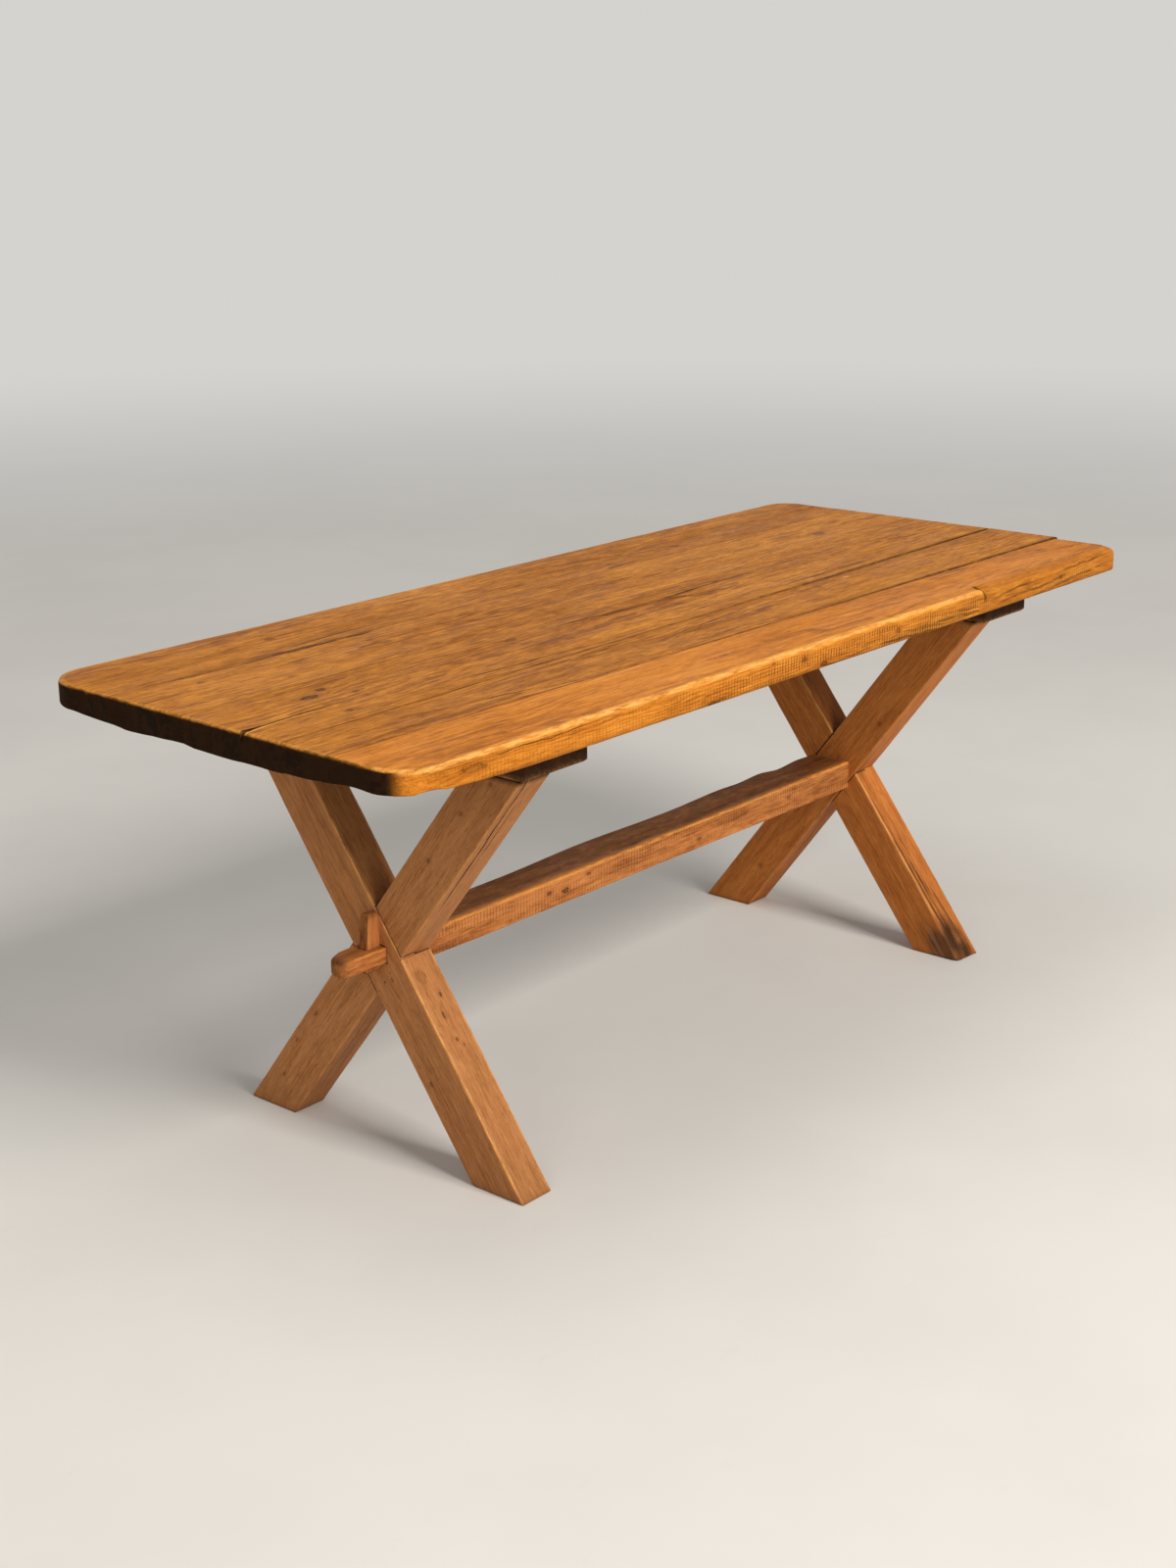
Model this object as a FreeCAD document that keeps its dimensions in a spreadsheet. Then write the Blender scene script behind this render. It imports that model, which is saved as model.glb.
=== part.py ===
import FreeCAD, Part
import os
import re
import Sketcher

"""Sawbuck table: a five-board top on two half-lapped X trestles, tied by one keyed stretcher.

Millimetres. The origin is on the floor under the middle of the top, +X runs along the table,
+Y to its back and +Z up. Left is -X and front is -Y.
"""

LEFT = "left"
RIGHT = "right"
SIDES = (LEFT, RIGHT)
OUTER = "outer"
INNER = "inner"
FOOT = "foot"
HEAD = "head"
BOARD_NAMES = (
    "top_board_back",
    "top_board_mid_back",
    "top_board_centre",
    "top_board_mid_front",
    "top_board_front",
)
SEAMS = range(1, len(BOARD_NAMES))

SIZES = (
    # The top
    ("table_height", 750, "floor to the upper face of the top"),
    ("top_length", 1902, "length of the top along its front edge"),
    ("back_short", 16, "how much less far each end reaches at the back edge"),
    ("top_width", 770, "width of the top"),
    ("top_thick", 43, "thickness of the boards"),
    ("left_back_corner", 70, "plan radius of the left back corner"),
    ("right_back_corner", 52, "plan radius of the right back corner"),
    ("left_front_corner", 62, "plan radius of the left front corner"),
    ("right_front_corner", 42, "plan radius of the right front corner"),
    ("upper_arris", 8, "rounding of the upper outer arris"),
    ("lower_bevel", 3, "bevel of the lower outer arris"),
    # Seams between the boards, counted from the back: the first and the last by their distance
    # from the top's nearer edge, the others from its middle line
    ("seam_1_left", 169, "first seam from the back edge at the left end"),
    ("seam_1_right", 165, "first seam from the back edge at the right end"),
    ("seam_1_open", 0.4, "shrinkage gap of the first seam at the right end"),
    ("seam_2_left", 57, "second seam at the left end"),
    ("seam_2_right", 52, "second seam at the right end"),
    ("seam_2_open", 0.8, "shrinkage gap of the second seam at the right end"),
    ("seam_3_left", -150, "third seam at the left end"),
    ("seam_3_right", -106, "third seam at the right end"),
    ("seam_3_open", 2.6, "shrinkage gap of the third seam at the right end"),
    ("seam_4_left", 136, "fourth seam from the front edge at the left end"),
    ("seam_4_right", 133, "fourth seam from the front edge at the right end"),
    ("seam_4_open", 3.2, "shrinkage gap of the fourth seam at the right end"),
    ("gap_start", 120, "place along the table from which the seams have opened"),
    # Loose tongues in the seams
    ("tongue_thick", 12, "thickness of a loose tongue"),
    ("tongue_width", 32, "width of a loose tongue, half in each board"),
    ("tongue_stop", 110, "distance from a tongue's end to the board's end"),
    ("tongue_fit", 0.15, "room round a tongue in its groove"),
    # Wane, where the front plank's upper edge follows the round of the log
    ("wane_start", 496, "distance from the wane's step to the top's right end"),
    ("wane_width", 24, "width of the wane on the upper face"),
    ("wane_depth", 10, "depth of the wane on the front edge"),
    # Underside at the left end, where each plank was planed by itself
    ("planed_run", 250, "length of the planed stretch at the left end"),
    ("planed_spare", 3, "how far a plank may hang under the common face there"),
    ("planed_1", 4, "how high the first plank's underside is planed at its end"),
    ("planed_2", -0.5, "how high the second plank's underside is planed"),
    ("planed_3", -1.5, "how high the third plank's underside is planed"),
    ("planed_4", 2, "how high the fourth plank's underside is planed"),
    ("planed_5", 8, "how high the fifth plank's underside is planed"),
    # Cleats under the top
    ("cleat_width", 140, "width of a cleat along the table"),
    ("cleat_height", 54, "height of a cleat"),
    ("cleat_margin", 75, "distance from a cleat's end to the top's edge"),
    ("cleat_bevel", 4, "bevel of a cleat's lower edges"),
    # Trestles
    ("overhang", 302, "distance from a trestle's outer face to the top's end"),
    ("beam_thick", 63.5, "thickness of a leg beam along the table"),
    ("beam_width", 83, "width of a leg beam across its length"),
    ("beam_bevel", 1.5, "bevel of a leg beam's long edges"),
    ("beam_set_back", 1.2, "how far the inner beam lies behind the outer beam's face"),
    ("lap_gap", 0.5, "room at each shoulder of the half lap"),
    ("left_outer_foot", 136, "left outer beam's middle at the floor, from under the front edge"),
    ("left_outer_head", 160, "left outer beam's middle at the cleat, from under the back edge"),
    ("left_inner_foot", 140, "left inner beam's middle at the floor, from under the back edge"),
    ("left_inner_head", 130, "left inner beam's middle at the cleat, from under the front edge"),
    ("right_outer_foot", 144, "right outer beam's middle at the floor, from under the front edge"),
    ("right_outer_head", 130, "right outer beam's middle at the cleat, from under the back edge"),
    ("right_inner_foot", 134, "right inner beam's middle at the floor, from under the back edge"),
    ("right_inner_head", 144, "right inner beam's middle at the cleat, from under the front edge"),
    # Stub tenons of the leg beams in the cleats
    ("stub_length", 30, "length of a leg's stub tenon"),
    ("stub_thick", 24, "thickness of a stub tenon along the table"),
    ("stub_width", 50, "width of a stub tenon across the table"),
    ("stub_fit", 0.2, "room round a stub tenon"),
    # Stretcher
    ("stretcher_place", 10, "place of the stretcher's middle across the table"),
    ("stretcher_width", 82, "width of the stretcher across the table"),
    ("stretcher_shoulder", 1.5, "shoulder over the left tenon"),
    ("stretcher_rise", 2.5, "how much higher the stretcher's upper face is at its right shoulder"),
    ("left_stretcher_depth", 46, "depth of the stretcher at its left shoulder"),
    ("right_stretcher_depth", 53, "depth of the stretcher at its right shoulder"),
    ("stretcher_bevel", 1.2, "bevel of the stretcher's long edges"),
    # Through tenons and their keys
    ("tenon_width", 43, "width of a through tenon across the table"),
    ("tenon_height", 25, "height of a through tenon"),
    ("left_tenon_reach", 88, "how far the left tenon stands out of its trestle"),
    ("right_tenon_reach", 72, "how far the right tenon stands out of its trestle"),
    ("tenon_fit", 0.6, "room at each side of a tenon in its mortise"),
    ("tenon_play", 1.4, "room over a tenon in its mortise"),
    ("nose_front", 13, "plan radius of a tenon's front nose corner"),
    ("nose_back", 27, "plan radius of a tenon's back nose corner"),
    ("nose_upper", 7, "rounding of a nose's upper arris"),
    ("nose_bevel", 2, "bevel of a nose's lower arris"),
    ("slot_recess", 4, "how far a key's slot runs into the trestle"),
    ("key_thick", 17, "thickness of a key across the table"),
    ("key_width_top", 21.5, "width of a key at its upper end"),
    ("key_width_bottom", 31, "width of a key at its lower end"),
    ("key_over", 55, "how far a key stands over its tenon"),
    ("key_under", 12, "how far a key hangs under its tenon"),
    ("key_fit", 0.08, "room at each side of a key in its slot"),
    ("key_easing", 3, "rounding of a key's upper end"),
    # Screws that hold the cleats
    ("screw_diameter", 6, "diameter of a cleat screw"),
    ("screw_bite", 26, "how far a screw reaches into a board"),
    ("screw_point", 6, "length of a screw's point"),
    ("screw_head", 12, "diameter of a screw's countersunk head"),
    ("screw_fit", 0.1, "room round a screw in its hole"),
)
ALIASES = {alias for alias, value, note in SIZES}

# Places that several pieces share
UNDERSIDE = "(table_height - top_thick)"
CLEAT_FOOT = "(table_height - top_thick - cleat_height)"
CLEAT_END = "(top_width / 2 - cleat_margin)"
TRESTLE_FACE = "(top_length / 2 - overhang)"
HEAD_DEPTH = "((screw_head - screw_diameter) / 2)"

DOC = FreeCAD.newDocument("sawbuck_table")


def make_sheet():
    """The spreadsheet that holds every driving dimension."""
    sheet = DOC.addObject("Spreadsheet::Sheet", "Sizes")
    for row, (alias, value, note) in enumerate(SIZES, start=1):
        sheet.set(f"A{row}", alias)
        sheet.set(f"B{row}", str(value))
        sheet.setAlias(f"B{row}", alias)
        sheet.set(f"C{row}", note)
    DOC.recompute()
    return sheet


SHEET = make_sheet()


def bound(text):
    """An expression in which the name of each size reads the size's cell."""
    return re.sub(r"[a-z]\w*", lambda word: f"Sizes.{word[0]}" if word[0] in ALIASES else word[0], text)


def number(text):
    """The present value of an expression."""
    return float(SHEET.evalExpression(bound(text)))


# ---------------------------------------------------------------- drawing and cutting


def new_body(name, x="0", z="0"):
    """An empty body whose own frame stands at x along the table and z over the floor."""
    body = DOC.addObject("PartDesign::Body", name)
    body.Label = name
    body.setExpression("Placement.Base.x", bound(x))
    body.setExpression("Placement.Base.z", bound(z))
    return body


def new_sketch(body, role, lift):
    """An empty sketch on one of the body's own planes, raised along the plane's normal."""
    plane = next(item for item in body.Origin.OriginFeatures if item.Role == role)
    sketch = body.newObject("Sketcher::SketchObject", f"{body.Name}_sketch")
    sketch.AttachmentSupport = [(plane, "")]
    sketch.MapMode = "FlatFace"
    sketch.setExpression("AttachmentOffset.Base.z", bound(lift))
    return sketch


def dimension(sketch, kind, name, element, value, *point):
    """One named constraint of a sketch, bound to an expression."""
    index = sketch.addConstraint(Sketcher.Constraint(kind, element, *point, number(value)))
    sketch.renameConstraint(index, name)
    sketch.setExpression(f"Constraints.{name}", bound(value))


def polygon(body, role, corners, lift="0"):
    """A sketch of the closed outline through corners, each a pair of expressions."""
    sketch = new_sketch(body, role, lift)
    points = [FreeCAD.Vector(number(across), number(up), 0) for across, up in corners]
    for index, point in enumerate(points):
        sketch.addGeometry(Part.LineSegment(point, points[(index + 1) % len(points)]), False)
    for index in range(len(points)):
        sketch.addConstraint(Sketcher.Constraint("Coincident", index, 2, (index + 1) % len(points), 1))
    for index, (across, up) in enumerate(corners):
        dimension(sketch, "DistanceX", f"across_{index}", index, across, 1)
        dimension(sketch, "DistanceY", f"up_{index}", index, up, 1)
    return sketch


def circles(body, role, centres, diameter, lift="0"):
    """A sketch of equal circles, each centre a pair of expressions."""
    sketch = new_sketch(body, role, lift)
    radius = f"({diameter}) / 2"
    for index, (across, up) in enumerate(centres):
        centre = FreeCAD.Vector(number(across), number(up), 0)
        sketch.addGeometry(Part.Circle(centre, FreeCAD.Vector(0, 0, 1), number(radius)), False)
        dimension(sketch, "Radius", f"radius_{index}", index, radius)
        dimension(sketch, "DistanceX", f"across_{index}", index, across, 3)
        dimension(sketch, "DistanceY", f"up_{index}", index, up, 3)
    return sketch


def rectangle(low_across, low_up, high_across, high_up):
    """The four corners of an upright rectangle."""
    return [(low_across, low_up), (high_across, low_up), (high_across, high_up), (low_across, high_up)]


def pad(body, sketch, length):
    """Fill a sketch along its normal."""
    feature = body.newObject("PartDesign::Pad", f"{body.Name}_pad")
    feature.Profile = sketch
    feature.setExpression("Length", bound(length))
    sketch.Visibility = False
    DOC.recompute()
    return feature


def pocket(body, sketch, length):
    """Cut a sketch out of the body along the sketch's normal."""
    before = body.Shape.Volume
    feature = body.newObject("PartDesign::Pocket", f"{body.Name}_pocket")
    feature.Profile = sketch
    feature.Reversed = True
    feature.setExpression("Length", bound(length))
    sketch.Visibility = False
    DOC.recompute()
    if body.Shape.Volume >= before:
        raise RuntimeError(f"{feature.Name} cuts nothing")
    return feature


def dress(body, kind, size, value, chosen):
    """Round or bevel the edges of the body that chosen picks, by the named value."""
    base = body.Tip
    names = [f"Edge{index}" for index, edge in enumerate(base.Shape.Edges, start=1) if chosen(edge)]
    if not names:
        raise RuntimeError(f"{body.Name} has no edge to dress")
    feature = body.newObject(f"PartDesign::{kind}", f"{body.Name}_{kind.lower()}")
    feature.Base = (base, names)
    feature.setExpression(size, bound(value))
    DOC.recompute()
    return feature


def fillet(body, value, chosen):
    """Round the chosen edges."""
    return dress(body, "Fillet", "Radius", value, chosen)


def chamfer(body, value, chosen):
    """Bevel the chosen edges."""
    return dress(body, "Chamfer", "Size", value, chosen)


def near(one, other, room=0.01):
    """Whether two lengths are the same."""
    return abs(one - other) < room


def ends(edge):
    """The two end points of an edge."""
    return edge.Vertexes[0].Point, edge.Vertexes[-1].Point


def middle(edge):
    """The point halfway along an edge."""
    return edge.valueAt((edge.FirstParameter + edge.LastParameter) / 2)


def is_level(edge, height):
    """Whether an edge lies at one height."""
    return all(near(point.z, number(height)) for point in (*ends(edge), middle(edge)))


def is_upright(edge):
    """Whether an edge runs straight up."""
    start, stop = ends(edge)
    return near(start.x, stop.x) and near(start.y, stop.y) and not near(start.z, stop.z)


# ---------------------------------------------------------------- the top


def seam_end(seam, end):
    """Where a seam's middle line is across the table at its left or right end."""
    distance = f"seam_{seam}_{end}"
    if seam == SEAMS[0]:
        return f"(top_width / 2 - {distance})"
    if seam == SEAMS[-1]:
        return f"({distance} - top_width / 2)"
    return distance


def seam_at(seam, place):
    """Where a seam's middle line is across the table, at a place along it."""
    left = seam_end(seam, LEFT)
    right = seam_end(seam, RIGHT)
    return f"({left} + ({right} - {left}) * (({place}) / top_length + 0.5))"


def end_at(place):
    """How far the top's ends reach along the table, at a place across it."""
    return f"(top_length / 2 - back_short * (({place}) / top_width + 0.5))"


def seam_edge(seam, behind):
    """The edge of the board behind or in front of a seam, from left to right."""
    half_gap = f"seam_{seam}_open / 2" if behind else f"-seam_{seam}_open / 2"
    left = f"-{end_at(seam_end(seam, LEFT))}"
    right = end_at(seam_end(seam, RIGHT))
    return [
        (left, seam_at(seam, left)),
        ("gap_start", seam_at(seam, "gap_start")),
        (right, f"{seam_end(seam, RIGHT)} + {half_gap}"),
    ]


def back_edge():
    """The table's back edge, from left to right."""
    back = "top_width / 2"
    return [(f"-{end_at(back)}", back), (end_at(back), back)]


def front_edge():
    """The table's front edge, from left to right."""
    front = "-top_width / 2"
    return [(f"-{end_at(front)}", front), (end_at(front), front)]


def tongue_outline(seam, room):
    """The outline of a seam's loose tongue, with room round it."""
    half = f"(tongue_width / 2 + {room})"
    reach = f"(top_length / 2 - tongue_stop + {room})"
    left = seam_at(seam, f"-{reach}")
    right = seam_at(seam, reach)
    return [
        (f"-{reach}", f"{left} - {half}"),
        (reach, f"{right} - {half}"),
        (reach, f"{right} + {half}"),
        (f"-{reach}", f"{left} + {half}"),
    ]


def is_inside(point):
    """Whether a point lies clear of both ends of the top."""
    return abs(point.x) < number("top_length / 2 - back_short") - 1


def is_outer(edge, index):
    """Whether a board's edge is part of the top's outline."""
    start, stop = ends(edge)
    crosses = near(start.x, stop.x) and is_inside(start)
    return not crosses and not is_on_seam(edge, index)


def is_on_seam(edge, index):
    """Whether a board's edge runs along one of its seams."""
    point = middle(edge)
    seams = [seam for seam in (index, index + 1) if seam in SEAMS]
    room = 1 + max(number(f"seam_{seam}_open") for seam in SEAMS)
    along = [near(point.y, number(seam_at(seam, repr(point.x))), room) for seam in seams]
    return is_inside(point) and any(along)


def is_underside(edge):
    """Whether a board's edge lies on its lower face."""
    highest = number("max(max(planed_1; planed_2); max(planed_4; planed_5))")
    return all(point.z <= highest + 0.01 for point in (*ends(edge), middle(edge)))


def plane_underside(body, index):
    """Plane a board's underside level, apart from its own slope at the left end."""
    end = "-(top_length / 2 + 1)"
    other_end = "(top_length / 2 + 1)"
    low = "-(planed_spare + 1)"
    level = "-top_length / 2 + planed_run"
    slope = f"planed_{index + 1}"
    profile = [(end, low), (other_end, low), (other_end, "0"), (level, "0"), (end, slope)]
    pocket(body, polygon(body, "XZ_Plane", profile, lift="-top_width"), "2 * top_width")


def cut_wane(body):
    """Bevel the front plank's upper edge from a step near the right trestle to the right end."""
    foot = "-top_width / 2"
    profile = [
        (f"{foot} - wane_width", "top_thick - 2 * wane_depth"),
        (f"{foot} + wane_width", "top_thick"),
        (f"{foot} - wane_width", "top_thick"),
    ]
    pocket(body, polygon(body, "YZ_Plane", profile, lift="top_length / 2 - wane_start"), "wane_start")


def round_corners(body, line):
    """Round the two plan corners of a board that lie on the table's back or front line."""
    place = "back" if number(line) > 0 else "front"
    for side in SIDES:
        sign = -1 if side == LEFT else 1
        corner = FreeCAD.Vector(sign * number(end_at(line)), number(line), 0)
        fillet(body, f"{side}_{place}_corner", lambda edge: is_upright(edge) and is_over(edge, corner))


def make_board(index):
    """One board of the top, counted from the back, with its grooves and pilot holes."""
    body = new_body(BOARD_NAMES[index], z=UNDERSIDE)
    upper = seam_edge(index, behind=False) if index in SEAMS else back_edge()
    lower = seam_edge(index + 1, behind=True) if index + 1 in SEAMS else front_edge()
    outline = polygon(body, "XY_Plane", lower + upper[::-1], lift="-planed_spare")
    pad(body, outline, "top_thick + planed_spare")
    if index not in SEAMS:
        round_corners(body, "top_width / 2")
    if index + 1 not in SEAMS:
        round_corners(body, "-top_width / 2")
    plane_underside(body, index)
    fillet(body, "upper_arris", lambda edge: is_level(edge, "top_thick") and not is_on_seam(edge, index))
    chamfer(body, "lower_bevel", lambda edge: is_underside(edge) and is_outer(edge, index))
    if index + 1 not in SEAMS:
        cut_wane(body)
    groove_foot = "(top_thick - tongue_thick) / 2 - tongue_fit"
    for seam in (index, index + 1):
        if seam in SEAMS:
            groove = polygon(body, "XY_Plane", tongue_outline(seam, "tongue_fit"), lift=groove_foot)
            pocket(body, groove, "tongue_thick + 2 * tongue_fit")
    holes = [screw_place(side, index) for side in SIDES]
    drill = circles(body, "XY_Plane", holes, "screw_diameter + 2 * screw_fit", lift="-planed_spare")
    pocket(body, drill, "planed_spare + screw_bite + screw_fit")
    return body


def make_tongue(seam):
    """The loose tongue that keeps the two boards of a seam in one plane."""
    body = new_body(f"seam_{seam}_tongue", z=f"{UNDERSIDE} + (top_thick - tongue_thick) / 2")
    pad(body, polygon(body, "XY_Plane", tongue_outline(seam, "0")), "tongue_thick")
    return body


# ---------------------------------------------------------------- the cleats and their screws


def trestle_start(side):
    """The left face of a trestle and of its cleat."""
    return f"-{TRESTLE_FACE}" if side == LEFT else f"({TRESTLE_FACE} - beam_thick)"


def screw_row(side):
    """The line of a cleat's screws, halfway over the part of the cleat beside its trestle."""
    return f"({trestle_start(side)} + (beam_thick + cleat_width) / 2)"


def screw_place(side, index):
    """The place of the screw that holds a board, midway over the board's part of the cleat."""
    row = screw_row(side)
    behind = seam_at(index, row) if index in SEAMS else CLEAT_END
    before = seam_at(index + 1, row) if index + 1 in SEAMS else f"-{CLEAT_END}"
    return row, f"({behind} + {before}) / 2"


def make_cleat(side):
    """One cleat, mortised for the leg beams' stub tenons and bored for its screws."""
    start = trestle_start(side)
    body = new_body(f"{side}_cleat", x=start, z=CLEAT_FOOT)
    outline = rectangle("0", f"-{CLEAT_END}", "cleat_width", CLEAT_END)
    pad(body, polygon(body, "XY_Plane", outline), "cleat_height")
    chamfer(body, "cleat_bevel", lambda edge: is_level(edge, "0"))
    for lap in (OUTER, INNER):
        head = leg_end(side, lap, HEAD)
        mortise = rectangle("(beam_thick - stub_thick) / 2 - stub_fit", f"{head} - stub_width / 2 - stub_fit",
                            "(beam_thick + stub_thick) / 2 + stub_fit", f"{head} + stub_width / 2 + stub_fit")
        pocket(body, polygon(body, "XY_Plane", mortise), "stub_length + stub_fit")
    places = [screw_place(side, index) for index in range(len(BOARD_NAMES))]
    centres = [(f"{along} - ({start})", across) for along, across in places]
    pocket(body, circles(body, "XY_Plane", centres, "screw_diameter + 2 * screw_fit"), "cleat_height")
    chamfer(body, f"{HEAD_DEPTH} - screw_fit", lambda edge: edge.Closed and is_level(edge, "0"))
    return body


def primitive(kind, name, sizes, place):
    """One Part primitive whose sizes and place are bound to expressions."""
    shape = DOC.addObject(f"Part::{kind}", name)
    for size, value in sizes.items():
        shape.setExpression(size, bound(value))
    for axis, value in zip("xyz", place):
        shape.setExpression(f"Placement.Base.{axis}", bound(value))
    return shape


def make_screw(side, index):
    """One wood screw, driven up through a cleat into a board."""
    name = f"{side}_screw_{index + 1}"
    along, across = screw_place(side, index)
    shank_length = f"(cleat_height + screw_bite - screw_point - {HEAD_DEPTH})"
    radius = "screw_diameter / 2"
    shank_sizes = {"Radius": radius, "Height": shank_length}
    point_sizes = {"Radius1": radius, "Radius2": "0", "Height": "screw_point"}
    head_sizes = {"Radius1": "screw_head / 2", "Radius2": radius, "Height": HEAD_DEPTH}
    neck = f"{CLEAT_FOOT} + {HEAD_DEPTH}"
    screw = DOC.addObject("Part::MultiFuse", name)
    screw.Shapes = [
        primitive("Cone", f"{name}_head", head_sizes, (along, across, CLEAT_FOOT)),
        primitive("Cylinder", f"{name}_shank", shank_sizes, (along, across, neck)),
        primitive("Cone", f"{name}_point", point_sizes, (along, across, f"{neck} + {shank_length}")),
    ]
    return screw


def make_screws(side):
    """The screws of one cleat, one to each board."""
    group = DOC.addObject("Part::Compound", f"{side}_cleat_screws")
    group.Label = group.Name
    group.Links = [make_screw(side, index) for index in range(len(BOARD_NAMES))]
    DOC.recompute()
    return group


# ---------------------------------------------------------------- the trestles


def leg_end(side, lap, end):
    """Where a leg beam's middle line meets the floor or the cleat, across the table."""
    distance = f"{side}_{lap}_{end}"
    at_front = (lap == OUTER) == (end == FOOT)
    return f"({distance} - top_width / 2)" if at_front else f"(top_width / 2 - {distance})"


def leg_run(side, lap):
    """How far a leg beam's middle line runs across the table from its foot to its head."""
    return f"({leg_end(side, lap, HEAD)} - {leg_end(side, lap, FOOT)})"


def leg_line(side, lap, height):
    """Where a leg beam's middle line is across the table, at a height."""
    return f"({leg_end(side, lap, FOOT)} + {leg_run(side, lap)} * ({height}) / {CLEAT_FOOT})"


def crossing_height(side):
    """The height at which a trestle's two middle lines cross."""
    spread = f"({leg_end(side, INNER, FOOT)} - {leg_end(side, OUTER, FOOT)})"
    return f"({CLEAT_FOOT} * {spread} / ({leg_run(side, OUTER)} - {leg_run(side, INNER)}))"


def crossing_place(side):
    """The place across the table at which a trestle's two middle lines cross."""
    return leg_line(side, OUTER, crossing_height(side))


def tenon_level():
    """The height of both tenons' middle, midway between the two crossings."""
    return f"(({crossing_height(LEFT)} + {crossing_height(RIGHT)}) / 2)"


def leg_band(side, lap, low, high, room="0"):
    """The outline of a leg beam between two heights, with room at each side."""
    half = f"(beam_width / 2 * sqrt(1 + ({leg_run(side, lap)} / {CLEAT_FOOT}) ^ 2) + {room})"
    foot = leg_line(side, lap, low)
    head = leg_line(side, lap, high)
    return [
        (f"{foot} - {half}", low),
        (f"{foot} + {half}", low),
        (f"{head} + {half}", high),
        (f"{head} - {half}", high),
    ]


def from_outside(side, shallow, deep):
    """The place and the length, along the table, of a layer counted from a trestle's outer face."""
    lift = shallow if side == LEFT else f"beam_thick - ({deep})"
    return lift, f"({deep}) - ({shallow})"


def is_long(edge):
    """Whether an edge runs along a leg beam."""
    start, stop = ends(edge)
    return near(start.x, stop.x) and not near(start.z, stop.z)


def make_leg(side, lap):
    """One leg beam, halved where it crosses the other and mortised for the stretcher's tenon."""
    body = new_body(f"{side}_leg_{lap}", x=trestle_start(side))
    face = "0" if lap == OUTER else "beam_set_back"
    lift, length = from_outside(side, face, "beam_thick")
    pad(body, polygon(body, "YZ_Plane", leg_band(side, lap, "0", CLEAT_FOOT), lift=lift), length)
    chamfer(body, "beam_bevel", is_long)
    halve(body, side, lap)
    cut_mortise(body, side)
    head = leg_end(side, lap, HEAD)
    stub_head = f"{CLEAT_FOOT} + stub_length"
    stub = rectangle(f"{head} - stub_width / 2", CLEAT_FOOT, f"{head} + stub_width / 2", stub_head)
    pad(body, polygon(body, "YZ_Plane", stub, lift="(beam_thick - stub_thick) / 2"), "stub_thick")
    return body


def halve(body, side, lap):
    """Cut away the half of a leg beam that the other beam fills where the two cross."""
    other = INNER if lap == OUTER else OUTER
    layer = ("beam_thick / 2", "beam_thick") if lap == OUTER else ("0", "beam_thick / 2")
    lift, length = from_outside(side, *layer)
    low = f"({crossing_height(side)} - beam_width * 1.25)"
    high = f"({crossing_height(side)} + beam_width * 1.25)"
    pocket(body, polygon(body, "YZ_Plane", leg_band(side, other, low, high, "lap_gap"), lift=lift), length)


def cut_mortise(body, side):
    """Cut the mortise that lets the stretcher's tenon through the crossing."""
    centre = crossing_place(side)
    half = "(tenon_width / 2 + tenon_fit)"
    seat = tenon_foot()
    roof = f"{seat} + tenon_height + tenon_play"
    mortise = rectangle(f"{centre} - {half}", seat, f"{centre} + {half}", roof)
    pocket(body, polygon(body, "YZ_Plane", mortise), "beam_thick")


# ---------------------------------------------------------------- the stretcher and its keys


def outward(side, distance):
    """A place along the table, counted outwards from a trestle's outer face."""
    sign = "-" if side == LEFT else ""
    return f"{sign}({TRESTLE_FACE} + {distance})"


def tenon_foot():
    """The height of both tenons' lower face."""
    return f"({tenon_level()} - tenon_height / 2)"


def tenon_top():
    """The height of both tenons' upper face."""
    return f"({tenon_level()} + tenon_height / 2)"


def key_face(side, height, room="0"):
    """The outward face of a key at a height, with room beyond it."""
    rise = f"((({height}) - {tenon_foot()} + key_under) / (tenon_height + key_over + key_under))"
    width = f"(key_width_bottom + (key_width_top - key_width_bottom) * {rise})"
    return outward(side, f"{width} + {room}")


def is_over(edge, corner):
    """Whether an upright edge stands over a corner in plan."""
    return near(middle(edge).x, corner.x) and near(middle(edge).y, corner.y)


def is_nose(edge, tip):
    """Whether an edge is part of a tenon's nose outline."""
    reach = number("max(nose_front; nose_back)")
    return all(abs(point.x - number(tip)) <= reach + 0.01 for point in ends(edge))


def make_tenon(body, side):
    """One through tenon of the stretcher, with a rounded nose and the slot for its key."""
    centre = crossing_place(side)
    tip = outward(side, f"{side}_tenon_reach")
    outline = rectangle(outward(side, "-beam_thick"), tenon_foot(), tip, tenon_top())
    pad(body, polygon(body, "XZ_Plane", outline, lift=f"-({centre} + tenon_width / 2)"), "tenon_width")
    for radius, sign in (("nose_front", "-"), ("nose_back", "+")):
        corner = FreeCAD.Vector(number(tip), number(f"{centre} {sign} tenon_width / 2"), 0)
        fillet(body, radius, lambda edge: is_upright(edge) and is_over(edge, corner))
    fillet(body, "nose_upper", lambda edge: is_level(edge, tenon_top()) and is_nose(edge, tip))
    chamfer(body, "nose_bevel", lambda edge: is_level(edge, tenon_foot()) and is_nose(edge, tip))
    low = f"({tenon_foot()} - tenon_height)"
    high = f"({tenon_top()} + tenon_height)"
    inner = outward(side, "-slot_recess")
    slot = [
        (inner, low),
        (key_face(side, low, "key_fit"), low),
        (key_face(side, high, "key_fit"), high),
        (inner, high),
    ]
    back = f"-({centre} + key_thick / 2 + key_fit)"
    pocket(body, polygon(body, "XZ_Plane", slot, lift=back), "key_thick + 2 * key_fit")


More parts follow.
